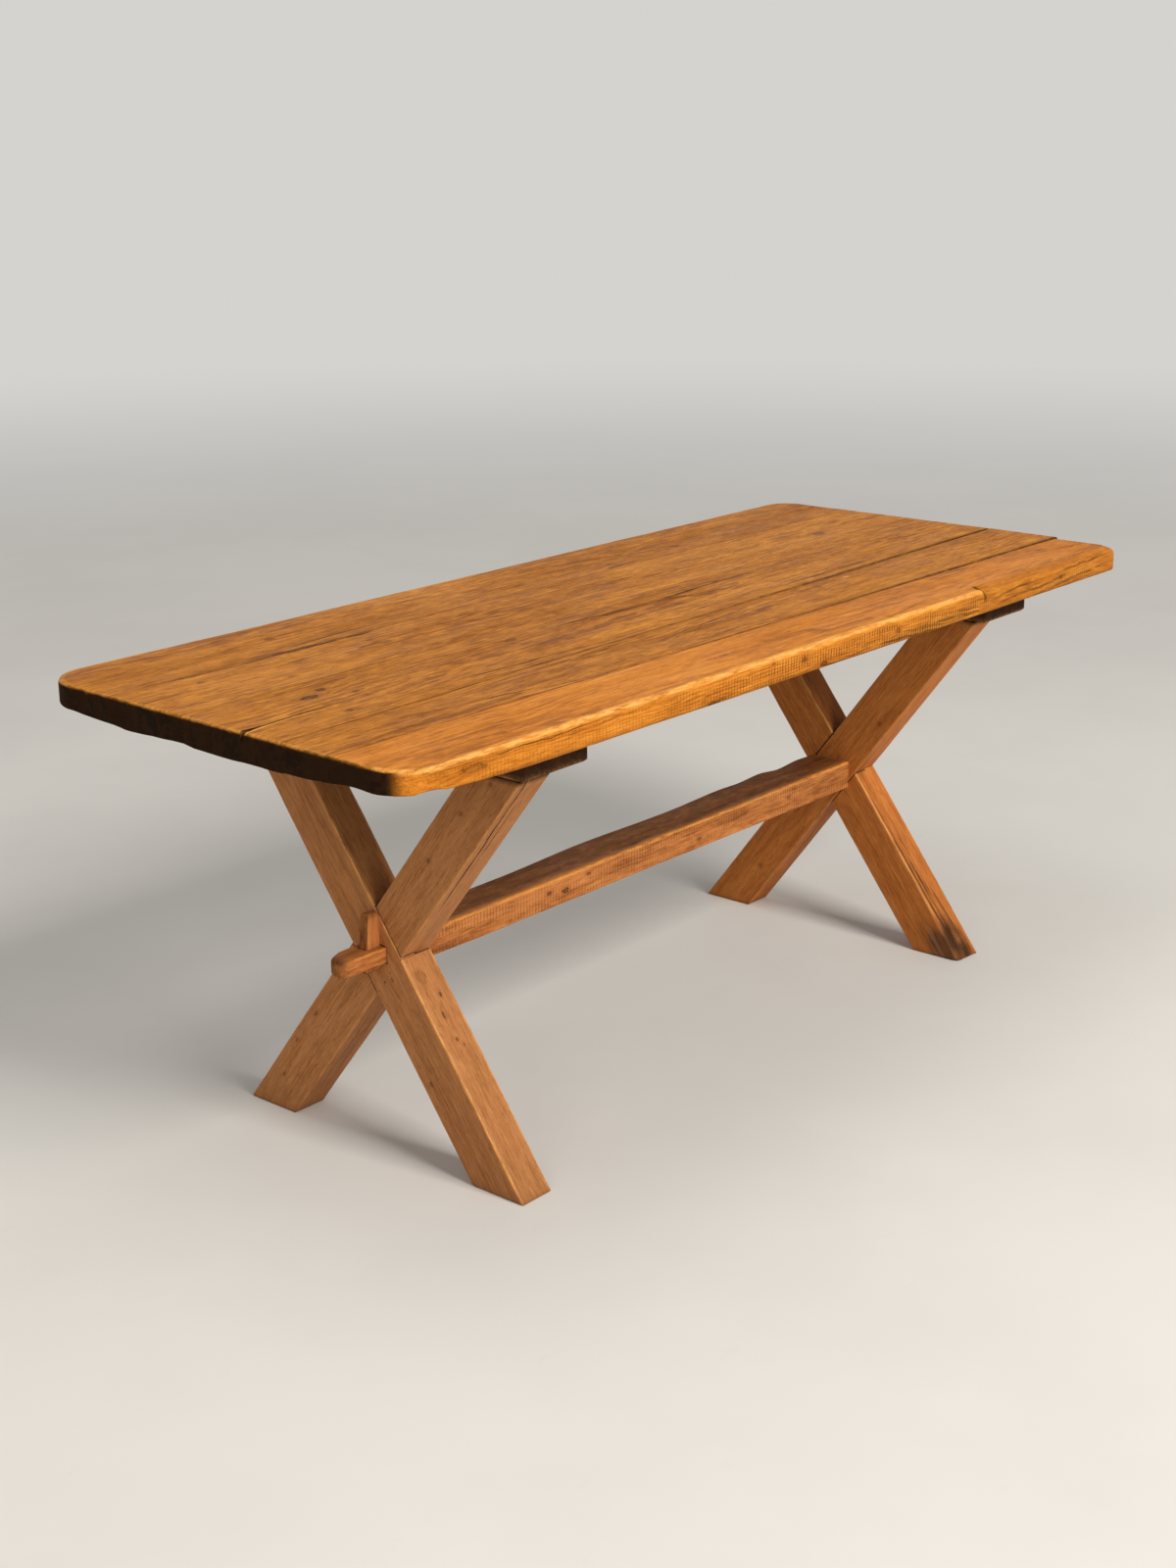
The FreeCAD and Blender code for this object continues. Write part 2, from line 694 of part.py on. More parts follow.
def make_stretcher():
    """The stretcher: a plank laid flat between the crossings, with a keyed tenon at each end."""
    body = new_body("stretcher")
    left = outward(LEFT, "-beam_thick")
    right = outward(RIGHT, "-beam_thick")
    left_top = f"({tenon_top()} + stretcher_shoulder)"
    right_top = f"({left_top} + stretcher_rise)"
    profile = [(left, f"{left_top} - left_stretcher_depth"), (right, f"{right_top} - right_stretcher_depth"),
               (right, right_top), (left, left_top)]
    back = "-(stretcher_place + stretcher_width / 2)"
    pad(body, polygon(body, "XZ_Plane", profile, lift=back), "stretcher_width")
    length = number("top_length - 2 * overhang - 2 * beam_thick")
    chamfer(body, "stretcher_bevel", lambda edge: edge.Length > length - 1)
    for side in SIDES:
        make_tenon(body, side)
    return body


def make_key(side):
    """One tapered key, wider at its foot, that draws the stretcher's shoulders to the trestle."""
    body = new_body(f"{side}_key")
    low = f"({tenon_foot()} - key_under)"
    high = f"({tenon_top()} + key_over)"
    inner = outward(side, "0")
    profile = [(inner, low), (key_face(side, low), low), (key_face(side, high), high), (inner, high)]
    back = f"-({crossing_place(side)} + key_thick / 2)"
    pad(body, polygon(body, "XZ_Plane", profile, lift=back), "key_thick")
    fillet(body, "key_easing", lambda edge: is_level(edge, high) and not near(middle(edge).x, number(inner)))
    return body


# ---------------------------------------------------------------- the whole table


def make_table():
    """Every piece of the table, each in its own node."""
    pieces = [make_board(index) for index in range(len(BOARD_NAMES))]
    pieces += [make_tongue(seam) for seam in SEAMS]
    for side in SIDES:
        pieces += [make_cleat(side), make_screws(side)]
        pieces += [make_leg(side, lap) for lap in (OUTER, INNER)]
    pieces.append(make_stretcher())
    pieces += [make_key(side) for side in SIDES]
    return pieces


def check(pieces):
    """Stop if any object has failed or any piece isn't a sound shape."""
    DOC.recompute()
    for item in DOC.Objects:
        if "Invalid" in item.State or "Error" in item.State:
            raise RuntimeError(f"{item.Name} failed")
    for piece in pieces:
        if piece.Shape.isNull() or not piece.Shape.isValid():
            raise RuntimeError(f"{piece.Label} isn't a sound shape")


def export(pieces):
    """Write each piece to its own file."""
    os.makedirs("parts", exist_ok=True)
    for piece in pieces:
        piece.Shape.exportStep(f"parts/{piece.Label}.step")
        box = piece.Shape.BoundBox
        print(f"{piece.Label:24s} {len(piece.Shape.Solids)} solids  {piece.Shape.Volume / 1000:9.1f} cm3  "
              f"{box.XLength:7.1f} x {box.YLength:7.1f} x {box.ZLength:7.1f}")


TABLE = make_table()
check(TABLE)
export(TABLE)
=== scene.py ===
"""A sawbuck dining table: a plank top on two crossed trestles, tied by a keyed stretcher.

Metres, with X along the table, Y to its back, Z up and the floor at Z = 0.
"""

import logging
import math
from collections.abc import Callable, Sequence
from dataclasses import dataclass, field, replace
from enum import Enum
from functools import partial

import bpy
import numpy as np
from mathutils import Matrix, Vector


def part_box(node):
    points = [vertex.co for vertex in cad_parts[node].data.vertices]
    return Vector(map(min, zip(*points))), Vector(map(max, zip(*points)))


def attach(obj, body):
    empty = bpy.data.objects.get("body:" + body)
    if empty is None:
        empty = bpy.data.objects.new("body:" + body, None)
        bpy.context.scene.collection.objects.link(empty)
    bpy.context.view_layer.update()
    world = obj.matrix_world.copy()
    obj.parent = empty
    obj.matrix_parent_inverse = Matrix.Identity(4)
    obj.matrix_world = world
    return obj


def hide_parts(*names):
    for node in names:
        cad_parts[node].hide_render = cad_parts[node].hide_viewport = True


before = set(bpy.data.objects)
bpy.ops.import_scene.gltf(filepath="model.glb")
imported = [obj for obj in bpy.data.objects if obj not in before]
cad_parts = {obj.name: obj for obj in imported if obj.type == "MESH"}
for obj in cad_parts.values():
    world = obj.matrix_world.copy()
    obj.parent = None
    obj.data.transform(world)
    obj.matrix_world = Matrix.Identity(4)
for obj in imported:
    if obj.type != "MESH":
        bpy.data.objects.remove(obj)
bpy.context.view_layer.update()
LOG = logging.getLogger("sawbuck_table")

Colour = tuple[float, float, float]
Point = tuple[float, float, float]
Array = np.ndarray
Piece = bpy.types.Object
Socket = bpy.types.NodeSocket
Material = bpy.types.Material
TABLE = "table"
MM = 0.001
LATTICE_PRIMES = (374761393, 668265263, 1103515245)
SEED_PRIME = 982451653
MIX_PRIME = 1274126177
JOINT_REACH = 40 * MM
SHARP_ANGLE = math.radians(34.0)


class Side(Enum):
    """The two ends of the table."""

    LEFT = "left"
    RIGHT = "right"

    @property
    def outward(self) -> int:
        """The direction along X that leads out of the table at this end."""
        return -1 if self is Side.LEFT else 1


class Lap(Enum):
    """The two beams of a trestle, by the half that each keeps at the crossing."""

    OUTER = "outer"
    INNER = "inner"


class Operation(Enum):
    """What a tool body does to a piece."""

    CUT = "DIFFERENCE"
    JOIN = "UNION"


# ---- numbers and noise


def clamped(value: Array) -> Array:
    """Numbers kept from 0 to 1."""
    return np.clip(value, 0.0, 1.0)


def smooth_step(value: Array, low: float, high: float) -> Array:
    """A soft step from 0 at low to 1 at high."""
    share = clamped((value - low) / (high - low))
    return share * share * (3.0 - 2.0 * share)


def bell(distance: Array, reach: float) -> Array:
    """1 at no distance, falling softly to nothing a few reaches away."""
    return np.exp(-((distance / reach) ** 2))


def falling(distance: Array, reach: float) -> Array:
    """1 at no distance, falling evenly to 0 at reach."""
    return clamped(1.0 - distance / reach)


def arc_drop(inset: Array, radius: Array | float) -> Array:
    """How far a rounded arris lies under its face, at distances from its edge."""
    reach = np.clip(radius - inset, 0.0, radius)
    return radius - np.sqrt(np.maximum(radius * radius - reach * reach, 0.0))


def round_corner(from_end: Array, from_side: Array, corner: Array | float) -> tuple[Array, ...]:
    """Where points near a square corner go, so that the corner becomes an arc.

    Args:
        from_end: distance of each point from the end.
        from_side: distance of each point from the side.
        corner: radius of the arc.

    Returns:
        Which points move, how far out from the arc's centre they come to lie on both axes, and
        their distance from the arc.
    """
    into_end, into_side = corner - from_end, corner - from_side
    moves = (into_end > 0) & (into_side > 0)
    ring = np.maximum(into_end, into_side)
    scale = np.where(moves, ring / np.maximum(np.hypot(into_end, into_side), 1e-9), 1.0)
    return moves, into_end * scale, into_side * scale, corner - ring


@dataclass(frozen=True)
class Unevenness:
    """Smooth seeded noise, for what hand tools, rubbing and drying leave on wood."""

    seed: int

    def _lattice(self, cells: Array) -> Array:
        """A fixed number from -1 to 1 for each cell.

        Args:
            cells: three whole numbers to a row.

        Returns:
            One number to a row.
        """
        keys = cells.astype(np.int64) @ np.array(LATTICE_PRIMES) + self.seed * SEED_PRIME
        keys = (keys ^ (keys >> 13)) * MIX_PRIME
        keys ^= keys >> 16
        return (keys & 0xFFFF) / 32767.5 - 1.0

    def at(self, points: Array, rate: Sequence[float]) -> Array:
        """The noise at points.

        Args:
            points: one point to a row.
            rate: how many waves there are to a metre along each axis.

        Returns:
            Numbers from -1 to 1.
        """
        place = points * np.asarray(rate)
        cell = np.floor(place)
        share = smooth_step(place - cell, 0.0, 1.0)
        total = np.zeros(len(points))
        for corner in np.ndindex(2, 2, 2):
            weight = np.prod(np.where(np.array(corner) == 1, share, 1.0 - share), axis=1)
            total += weight * self._lattice(cell + corner)
        return total

    def line(self, places: Array, rate: float) -> Array:
        """The noise along one line of places."""
        return self.at(np.multiply.outer(places, (1.0, 0.0, 0.0)), (rate, 1.0, 1.0))


# ---- meshes


def arris_lines(length: float, first: float, last: float, step: float) -> Array:
    """Lines across a face, close together at its two arrises.

    Args:
        length: width of the face.
        first: radius of the arris at the start.
        last: radius of the arris at the end.
        step: distance between the lines elsewhere.

    Returns:
        The places of the lines, from 0 to length.
    """
    turns = 1.0 - np.cos(np.radians([0, 18, 36, 54, 72, 90]))
    start = first * np.concatenate([turns, [1.6, 2.4]])
    end = last * np.concatenate([turns, [1.6, 2.4]])
    count = max(2, round((length - start[-1] - end[-1]) / step) + 1)
    between = np.linspace(start[-1], length - end[-1], count)[1:-1]
    return np.concatenate([start, between, length - end[::-1]])


class BlockGrid:
    """The six faces of a block, each divided along chosen lines."""

    def __init__(self, along: Sequence[float], across: Sequence[float], up: Sequence[float]) -> None:
        """Number the points on the block's surface and the quads between them.

        Args:
            along: places of the lines on the first axis.
            across: places of the lines on the second axis.
            up: places of the lines on the third axis.
        """
        counts = (len(along), len(across), len(up))
        surface = np.zeros(counts, bool)
        for axis in range(3):
            for end in (0, -1):
                sheet = [slice(None)] * 3
                sheet[axis] = end
                surface[tuple(sheet)] = True
        cells = np.argwhere(surface)
        index = np.full(counts, -1)
        index[surface] = np.arange(len(cells))
        lines = (np.asarray(along), np.asarray(across), np.asarray(up))
        self.points = np.stack([lines[axis][cells[:, axis]] for axis in range(3)], axis=1)
        self.quads = np.concatenate([self._sheet(index, axis, end) for axis in range(3) for end in (0, -1)])

    @staticmethod
    def _sheet(index: Array, axis: int, end: int) -> Array:
        """The quads of one face, facing outwards.

        Args:
            index: the number of each point of the surface.
            axis: the axis that the face is square to.
            end: 0 for the face at its start and -1 for the one at its end.

        Returns:
            Four point numbers to a row.
        """
        sheet = np.moveaxis(index, axis, 0)[end]
        corners = (sheet[:-1, :-1], sheet[1:, :-1], sheet[1:, 1:], sheet[:-1, 1:])
        quads = np.stack(corners, axis=-1).reshape(-1, 4)
        return quads[:, ::-1] if (end == 0) != (axis == 1) else quads

    def to_object(self, name: str, points: Array) -> Piece:
        """A mesh object of this grid with its points moved."""
        return new_object(name, points.tolist(), self.quads.tolist())


def new_object(name: str, points: list, faces: list) -> Piece:
    """A mesh object from points and faces.

    Args:
        name: the object's name.
        points: the mesh's points.
        faces: the point numbers of each face.

    Returns:
        The object, linked to the scene.
    """
    mesh = bpy.data.meshes.new(name)
    mesh.from_pydata(points, [], faces)
    piece = bpy.data.objects.new(name, mesh)
    bpy.context.scene.collection.objects.link(piece)
    return piece


def places_of(piece: Piece) -> Array:
    """The places of a mesh object's points.

    Args:
        piece: the mesh object.

    Returns:
        One place to a row.
    """
    places = np.zeros(len(piece.data.vertices) * 3)
    piece.data.vertices.foreach_get("co", places)
    return places.reshape(-1, 3)


def work(piece: Piece, tool: Piece, operation: Operation = Operation.CUT) -> None:
    """Cut a tool body out of a piece, or join it on, and throw the tool body away.

    Args:
        piece: the piece that is worked.
        tool: the closed mesh that does it.
        operation: whether it is cut out or joined on.
    """
    step = piece.modifiers.new(operation.name.lower(), "BOOLEAN")
    step.operation = operation.value
    step.solver = "MANIFOLD"
    step.object = tool
    worked = piece.evaluated_get(bpy.context.evaluated_depsgraph_get())
    mesh = bpy.data.meshes.new_from_object(worked)
    piece.modifiers.clear()
    old_meshes = (piece.data, tool.data)
    mesh.name = piece.name
    piece.data = mesh
    bpy.data.objects.remove(tool)
    for old in old_meshes:
        bpy.data.meshes.remove(old)


def prism(name: str, base: Sequence[Sequence[float]], top: Sequence[Sequence[float]]) -> Piece:
    """A closed body between two outlines with the same number of corners.

    Args:
        name: the object's name.
        base: the first outline, anticlockwise as seen from the second.
        top: the second outline.

    Returns:
        The body.
    """
    count = len(base)
    faces = [list(range(count))[::-1], list(range(count, 2 * count))]
    faces += [[step, (step + 1) % count, count + (step + 1) % count, count + step] for step in range(count)]
    return new_object(name, [*base, *top], faces)


def box_body(low: Sequence[float], high: Sequence[float]) -> Piece:
    """A plain box for cutting and joining."""
    plan = [(low[0], low[1]), (high[0], low[1]), (high[0], high[1]), (low[0], high[1])]
    return prism("tool", [(x, y, low[2]) for x, y in plan], [(x, y, high[2]) for x, y in plan])


@dataclass(frozen=True)
class Crack:
    """A drying crack: an open wedge that wanders along the grain."""

    path: tuple[Point, ...]
    width: float
    depth: float
    normal: Point = (0.0, 0.0, 1.0)
    open_start: bool = False
    seed: int = 1
    step: float = 12 * MM
    lift: float = 3 * MM
    tip_share: float = 0.3
    tip_width: float = 0.06

    @property
    def outward(self) -> Array:
        """The direction out of the wood."""
        return np.array(self.normal) / np.linalg.norm(self.normal)

    def body(self) -> Piece:
        """The wedge that is cut out of the wood.

        Returns:
            A closed mesh along the path, narrow at its closed ends.
        """
        normal = self.outward
        corners = np.array(self.path)
        lengths = np.concatenate([[0.0], np.cumsum(np.linalg.norm(np.diff(corners, axis=0), axis=1))])
        count = max(6, round(lengths[-1] / self.step))
        places = np.linspace(0.0, lengths[-1], count)
        line = np.stack([np.interp(places, lengths, corners[:, axis]) for axis in range(3)], axis=1)
        run = np.gradient(line, axis=0)
        sideways = np.cross(normal, run)
        sideways /= np.linalg.norm(sideways, axis=1, keepdims=True)
        waver = Unevenness(self.seed)
        line += sideways * (waver.line(places, 45.0) * 0.7 * MM)[:, None]
        tip = self.tip_share * lengths[-1]
        taper = np.minimum(1.0, (lengths[-1] - places) / tip + self.tip_width)
        if not self.open_start:
            taper = np.minimum(taper, places / tip + self.tip_width)
        half = 0.5 * self.width * taper * (1.0 + 0.35 * waver.line(places + 5.0, 60.0))
        lip = line + normal * self.lift
        mouth = sideways * (half * (1.0 + self.lift / self.depth))[:, None]
        rings = np.stack([lip + mouth, lip - mouth, line - normal * (self.depth * taper)[:, None]], axis=1)
        faces = [[2, 1, 0], [3 * count - 3, 3 * count - 2, 3 * count - 1]]
        for ring in range(count - 1):
            for corner in range(3):
                here, after = 3 * ring + corner, 3 * ring + (corner + 1) % 3
                faces.append([after, after + 3, here + 3, here])
        return new_object("crack", rings.reshape(-1, 3).tolist(), faces)

    def _offsets(self, points: Array) -> tuple[Array, Array]:
        """Where points lie from the crack's path.

        Args:
            points: one point to a row.

        Returns:
            Their distances from it sideways, and their depths under it.
        """
        normal = self.outward
        sideways = np.full(len(points), np.inf)
        depth = np.zeros(len(points))
        for start, stop in zip(np.array(self.path[:-1]), np.array(self.path[1:])):
            run = stop - start
            share = clamped((points - start) @ run / (run @ run))
            away = points - start - share[:, None] * run
            height = away @ normal
            flat = np.linalg.norm(away - height[:, None] * normal, axis=1)
            depth = np.where(flat < sideways, -height, depth)
            sideways = np.minimum(sideways, flat)
        return sideways, depth

    def nearness(self, points: Array, reach: float) -> Array:
        """How near points are to the crack, from 1 on it to 0 at reach."""
        sideways, depth = self._offsets(points)
        return (1.0 - smooth_step(sideways, 0.0, reach)) * (depth < self.depth + reach)

    def is_wall(self, centres: Array, normals: Array) -> Array:
        """Which faces are the crack's own walls.

        Args:
            centres: the faces' middles.
            normals: their directions.

        Returns:
            True for each wall.
        """
        sideways, depth = self._offsets(centres)
        steep = np.abs(normals @ self.outward) < 0.75
        inside = (depth > 0.2 * MM) & (depth < self.depth + MM)
        return steep & inside & (sideways < 0.6 * self.width + 0.8 * MM)


# ---- materials


class Wiring:
    """A material's nodes, built by small calls that each return a socket."""

    def __init__(self, name: str) -> None:
        """Start an empty material.

        Args:
            name: the material's name.
        """
        self.material = bpy.data.materials.new(name)
        self.material.use_nodes = True
        self.tree = self.material.node_tree
        self.tree.nodes.clear()

    @classmethod
    def of_world(cls, world: bpy.types.World) -> "Wiring":
        """The wiring of a world in place of a material.

        Args:
            world: the world, whose nodes are thrown away.

        Returns:
            The wiring.
        """
        made = cls.__new__(cls)
        world.use_nodes = True
        made.tree = world.node_tree
        made.tree.nodes.clear()
        return made

    def node(self, kind: str, inputs: dict | None = None, **settings: object) -> bpy.types.Node:
        """Add a node.

        Args:
            kind: the node's type, without its prefix.
            inputs: a value or a socket for each input, by name or number.
            settings: the node's own settings.

        Returns:
            The node.
        """
        made = self.tree.nodes.new(f"ShaderNode{kind}")
        for name, value in settings.items():
            setattr(made, name, value)
        for key, value in (inputs or {}).items():
            socket = made.inputs[key]
            if isinstance(value, Socket):
                self.tree.links.new(value, socket)
            else:
                socket.default_value = (*value, 1.0) if socket.type == "RGBA" else value
        return made

    def math(self, operation: str, first: object, second: object = 0.0, clamp: bool = False) -> Socket:
        """One step of arithmetic on two numbers."""
        return self.node("Math", {0: first, 1: second}, operation=operation, use_clamp=clamp).outputs[0]

    def times(self, first: object, second: object) -> Socket:
        """The product of two numbers."""
        return self.math("MULTIPLY", first, second)

    def plus(self, first: object, second: object) -> Socket:
        """The sum of two numbers."""
        return self.math("ADD", first, second)

    def minus(self, first: object, second: object) -> Socket:
        """The first number less the second."""
        return self.math("SUBTRACT", first, second)

    def scaled(self, vector: object, scale: Point) -> Socket:
        """A vector with each axis multiplied."""
        return self.node("VectorMath", {0: vector, 1: scale}, operation="MULTIPLY").outputs[0]

    def noise(
        self, vector: object, scale: Point, detail: float = 2.0, rough: float = 0.5, distortion: float = 0.0
    ) -> Socket:
        """Noise around one half, by its waves to a metre along each axis, finer layers and warp."""
        inputs = {"Vector": self.scaled(vector, scale), "Scale": 1.0, "Detail": detail}
        return self.node("TexNoise", {**inputs, "Roughness": rough, "Distortion": distortion}).outputs["Fac"]

    def span(self, value: object, low: float, high: float, start: float = 0.0, stop: float = 1.0) -> Socket:
        """A value from low to high mapped softly to start to stop."""
        inputs = {"Value": value, "From Min": low, "From Max": high, "To Min": start, "To Max": stop}
        return self.node("MapRange", inputs, interpolation_type="SMOOTHSTEP").outputs["Result"]

    def mix(self, share: object, first: object, second: object) -> Socket:
        """A mix of two colours."""
        inputs = {0: share, 6: first, 7: second}
        return self.node("Mix", inputs, data_type="RGBA", blend_type="MIX", clamp_factor=True).outputs[2]

    def ramp(self, value: object, stops: Sequence[tuple[float, Colour]]) -> Socket:
        """A colour for a value, by stops along the way.

        Args:
            value: the value.
            stops: a value and its colour for each stop, in order.

        Returns:
            The colour.
        """
        made = self.node("ValToRGB", {0: value})
        elements = made.color_ramp.elements
        while len(elements) < len(stops):
            elements.new(0.5)
        for element, (place, colour) in zip(elements, stops):
            element.position = place
            element.color = (*colour, 1.0)
        return made.outputs[0]

    def attribute(self, name: str, output: str = "Fac") -> Socket:
        """A value stored on the mesh's points."""
        return self.node("Attribute", attribute_name=name).outputs[output]

    def axes(self, vector: object) -> tuple[Socket, ...]:
        """The three parts of a vector."""
        return tuple(self.node("SeparateXYZ", {0: vector}).outputs)

    def finish(self, shader: bpy.types.Node) -> Material:
        """The material, with the shader at its output."""
        self.node("OutputMaterial", {"Surface": shader.outputs[0]})
        return self.material


@dataclass(frozen=True)
class Knot:
    """A knot, by its place on the table, its size, its stretch along the grain and its darkness."""

    place: Point
    size: float
    tone: float
    stretch: float = 1.6


@dataclass(frozen=True)
class Streak:
    """A dark line in the grain, or a pale scratch, between two places on the table."""

    start: Point
    stop: Point
    width: float
    tone: float
    is_pale: bool = False
    is_on_edge: bool = False


@dataclass(frozen=True)
class Marks:
    """What one piece shows of its own: its cracks, knots and dark lines."""

    cracks: tuple[Crack, ...] = ()
    knots: tuple[Knot, ...] = ()
    streaks: tuple[Streak, ...] = ()

    def cut(self, piece: Piece) -> None:
        """Cut the cracks into a piece."""
        for crack in self.cracks:
            work(piece, crack.body())

    def in_grain(self, to_grain: Callable[[Array], Array]) -> "Marks":
        """The marks with the places of the knots and lines turned into places in the grain.

        Args:
            to_grain: gives the place in the grain of points on the table.

        Returns:
            The moved marks. The cracks stay, because they are cut on the table.
        """

        def move(mark: Knot | Streak, *names: str) -> Knot | Streak:
            """One mark with its places moved."""
            places = {name: to_grain(np.array([getattr(mark, name)]))[0] for name in names}
            return replace(mark, **{name: tuple(place.tolist()) for name, place in places.items()})

        knots = tuple(move(mark, "place") for mark in self.knots)
        streaks = tuple(move(mark, "start", "stop") for mark in self.streaks)
        return replace(self, knots=knots, streaks=streaks)


@dataclass(frozen=True)
class TimberFinish:
    """The colours and the surface of one kind of waxed wood."""

    slot: str
    pale: Colour
    middle: Colour
    deep: Colour
    # The next colour darkens pores, hollows and old soiling, and also paints shade; worn, after it, is the
    # pale colour of rubbed arrises and scratches, and also of painted highlights on the arrises.
    patina_and_shade: Colour
    worn: Colour
    raw: Colour
    ring_spacing: float = 4.2 * MM
    broad_tone: float = 1.0
    figure_tone: float = 1.5
    mottle_tone: float = 1.3
    strand_tone: float = 1.2
    fibre_tone: float = 1.0
    ring_tone: float = 0.22
    pore_tone: float = 0.45
    fleck_tone: float = 0.5
    stain_tone: float = 0.45
    scratch_tone: float = 0.12
    saw_tone: float = 0.8
    saw_spacing: float = 7.2 * MM
    line_reach: float = 2.6 * MM
    line_width: float = 0.6 * MM
    rough_low: float = 0.36
    rough_high: float = 0.58
    specular: float = 0.05
    relief: float = 0.5

    def material(self, name: str, seed: int, marks: Marks = Marks(), is_worked: bool = True) -> Material:
        """The finish as a procedural material.

        Args:
            name: the material's name.
            seed: moves the pattern, so that no two pieces are alike.
            marks: the knots and the dark lines that the piece shows, in its grain.
            is_worked: whether the mesh has its place in the grain stored on it.

        Returns:
            The material.
        """
        wiring = Wiring(name)
        if is_worked:
            grain = wiring.attribute("grain", "Vector")
        else:
            grain = wiring.node("TexCoord").outputs["Object"]
        shift = (seed * 1.37, seed * 0.71, seed * 0.43)
        moved = wiring.node("VectorMath", {0: grain, 1: shift}, operation="ADD").outputs[0]
        around, heart = self._knots(wiring, grain, moved, marks.knots)
        ring, bands = self._rings(wiring, grain, moved, around)
        broad = wiring.noise(moved, (0.9, 6.0, 6.0), 4.0, 0.6, 0.4)
        figure = wiring.noise(moved, (5.0, 58.0, 58.0), 5.0, 0.62, 0.5)
        mottle = wiring.noise(moved, (22.0, 38.0, 38.0), 6.0, 0.68, 0.6)
        strand = wiring.noise(moved, (14.0, 190.0, 190.0), 4.0, 0.66, 0.3)
        fibre = wiring.noise(moved, (40.0, 470.0, 470.0), 3.0, 0.7)
        pores = wiring.span(wiring.noise(moved, (75.0, 950.0, 950.0), 2.0), 0.60, 0.72)
        flecks = wiring.span(wiring.noise(moved, (34.0, 270.0, 270.0), 3.0, 0.6), 0.64, 0.74)
        tone = wiring.plus(0.5, wiring.times(ring, -self.ring_tone))
        tones = (self.broad_tone, self.figure_tone, self.mottle_tone, self.strand_tone, self.fibre_tone)
        for layer, strength in zip((broad, figure, mottle, strand, fibre), tones):
            tone = wiring.plus(tone, wiring.times(wiring.minus(layer, 0.5), strength))
        colour = wiring.ramp(tone, ((0.0, self.deep), (0.46, self.middle), (0.95, self.pale)))

        cloud = wiring.noise(moved, (3.4, 15.0, 15.0), 5.0, 0.62, 0.8)
        stain = wiring.times(wiring.span(cloud, 0.53, 0.75), self.stain_tone)
        colour = wiring.mix(stain, colour, self.deep)
        colour = wiring.mix(wiring.times(pores, self.pore_tone), colour, self.patina_and_shade)
        colour = wiring.mix(wiring.times(flecks, self.fleck_tone), colour, self.patina_and_shade)
        turned = self._turned(wiring, moved, 0.9)
        scratch = wiring.span(wiring.noise(turned, (9.0, 620.0, 620.0), 1.0), 0.70, 0.78)
        colour = wiring.mix(wiring.times(scratch, self.scratch_tone), colour, self.worn)
        colour = self._drawn_streaks(wiring, colour, grain, moved, marks.streaks)
        colour = wiring.mix(around, colour, self.deep)
        colour = wiring.mix(heart, colour, self.patina_and_shade)
        saw = self._saw_lines(wiring, moved)
        colour = wiring.mix(wiring.times(saw, self.saw_tone), colour, self.patina_and_shade)
        # Pale arrises: partly real rubbing, partly painted highlights where the rounded arrises catch the
        # light.
        breakup = wiring.span(wiring.noise(moved, (34.0, 190.0, 190.0), 5.0, 0.72), 0.36, 0.62, 0.1, 1.0)
        wear_and_highlight = wiring.times(wiring.attribute("wear_and_highlight"), breakup)
        colour = wiring.mix(wear_and_highlight, colour, self.worn)
        raw = wiring.attribute("raw")
        raw_wood = wiring.mix(wiring.span(figure, 0.42, 0.60), self.raw, self.patina_and_shade)
        colour = wiring.mix(raw, colour, raw_wood)
        # Darkening towards the dark finish colour: real soiling, end grain and dark joints, and also painted
        # shade in the crack walls, round the mortises, on the stretcher's upper face and on the cleat's ends.
        dirt_and_shade_patches = wiring.span(wiring.noise(moved, (40.0, 90.0, 90.0), 3.0, 0.65), 0.25, 0.6, 0.55, 1.0)
        near_line, on_line = (1.0 - gap / JOINT_REACH for gap in (self.line_reach, self.line_width))
        joint = wiring.span(wiring.attribute("joint"), near_line, on_line, 0.0, 0.95)
        dirt_and_shade = wiring.math("MAXIMUM", wiring.attribute("dirt_and_shade"), joint)
        dirt_and_shade = wiring.math("MULTIPLY", dirt_and_shade, dirt_and_shade_patches, clamp=True)
        colour = wiring.mix(dirt_and_shade, colour, self.patina_and_shade)

        gloss = wiring.plus(wiring.times(strand, 0.5), wiring.times(cloud, 0.5))
        rough = wiring.span(gloss, 0.3, 0.7, self.rough_low, self.rough_high)
        rough = wiring.plus(rough, wiring.times(raw, 0.25))
        rough = wiring.math("ADD", rough, wiring.times(dirt_and_shade, 0.2), clamp=True)
        height = wiring.times(fibre, 0.9)
        cut_in = ((pores, -0.8), (bands, -0.5), (strand, 1.0), (figure, 0.8), (scratch, -0.4), (saw, -0.9))
        for layer, strength in cut_in:
            height = wiring.plus(height, wiring.times(layer, strength))
        bump = wiring.node("Bump", {"Strength": self.relief, "Distance": 0.6 * MM, "Height": height})
        inputs = {"Base Color": colour, "Roughness": rough, "Normal": bump.outputs["Normal"]}
        inputs["Specular IOR Level"] = self.specular
        return wiring.finish(wiring.node("BsdfPrincipled", inputs))

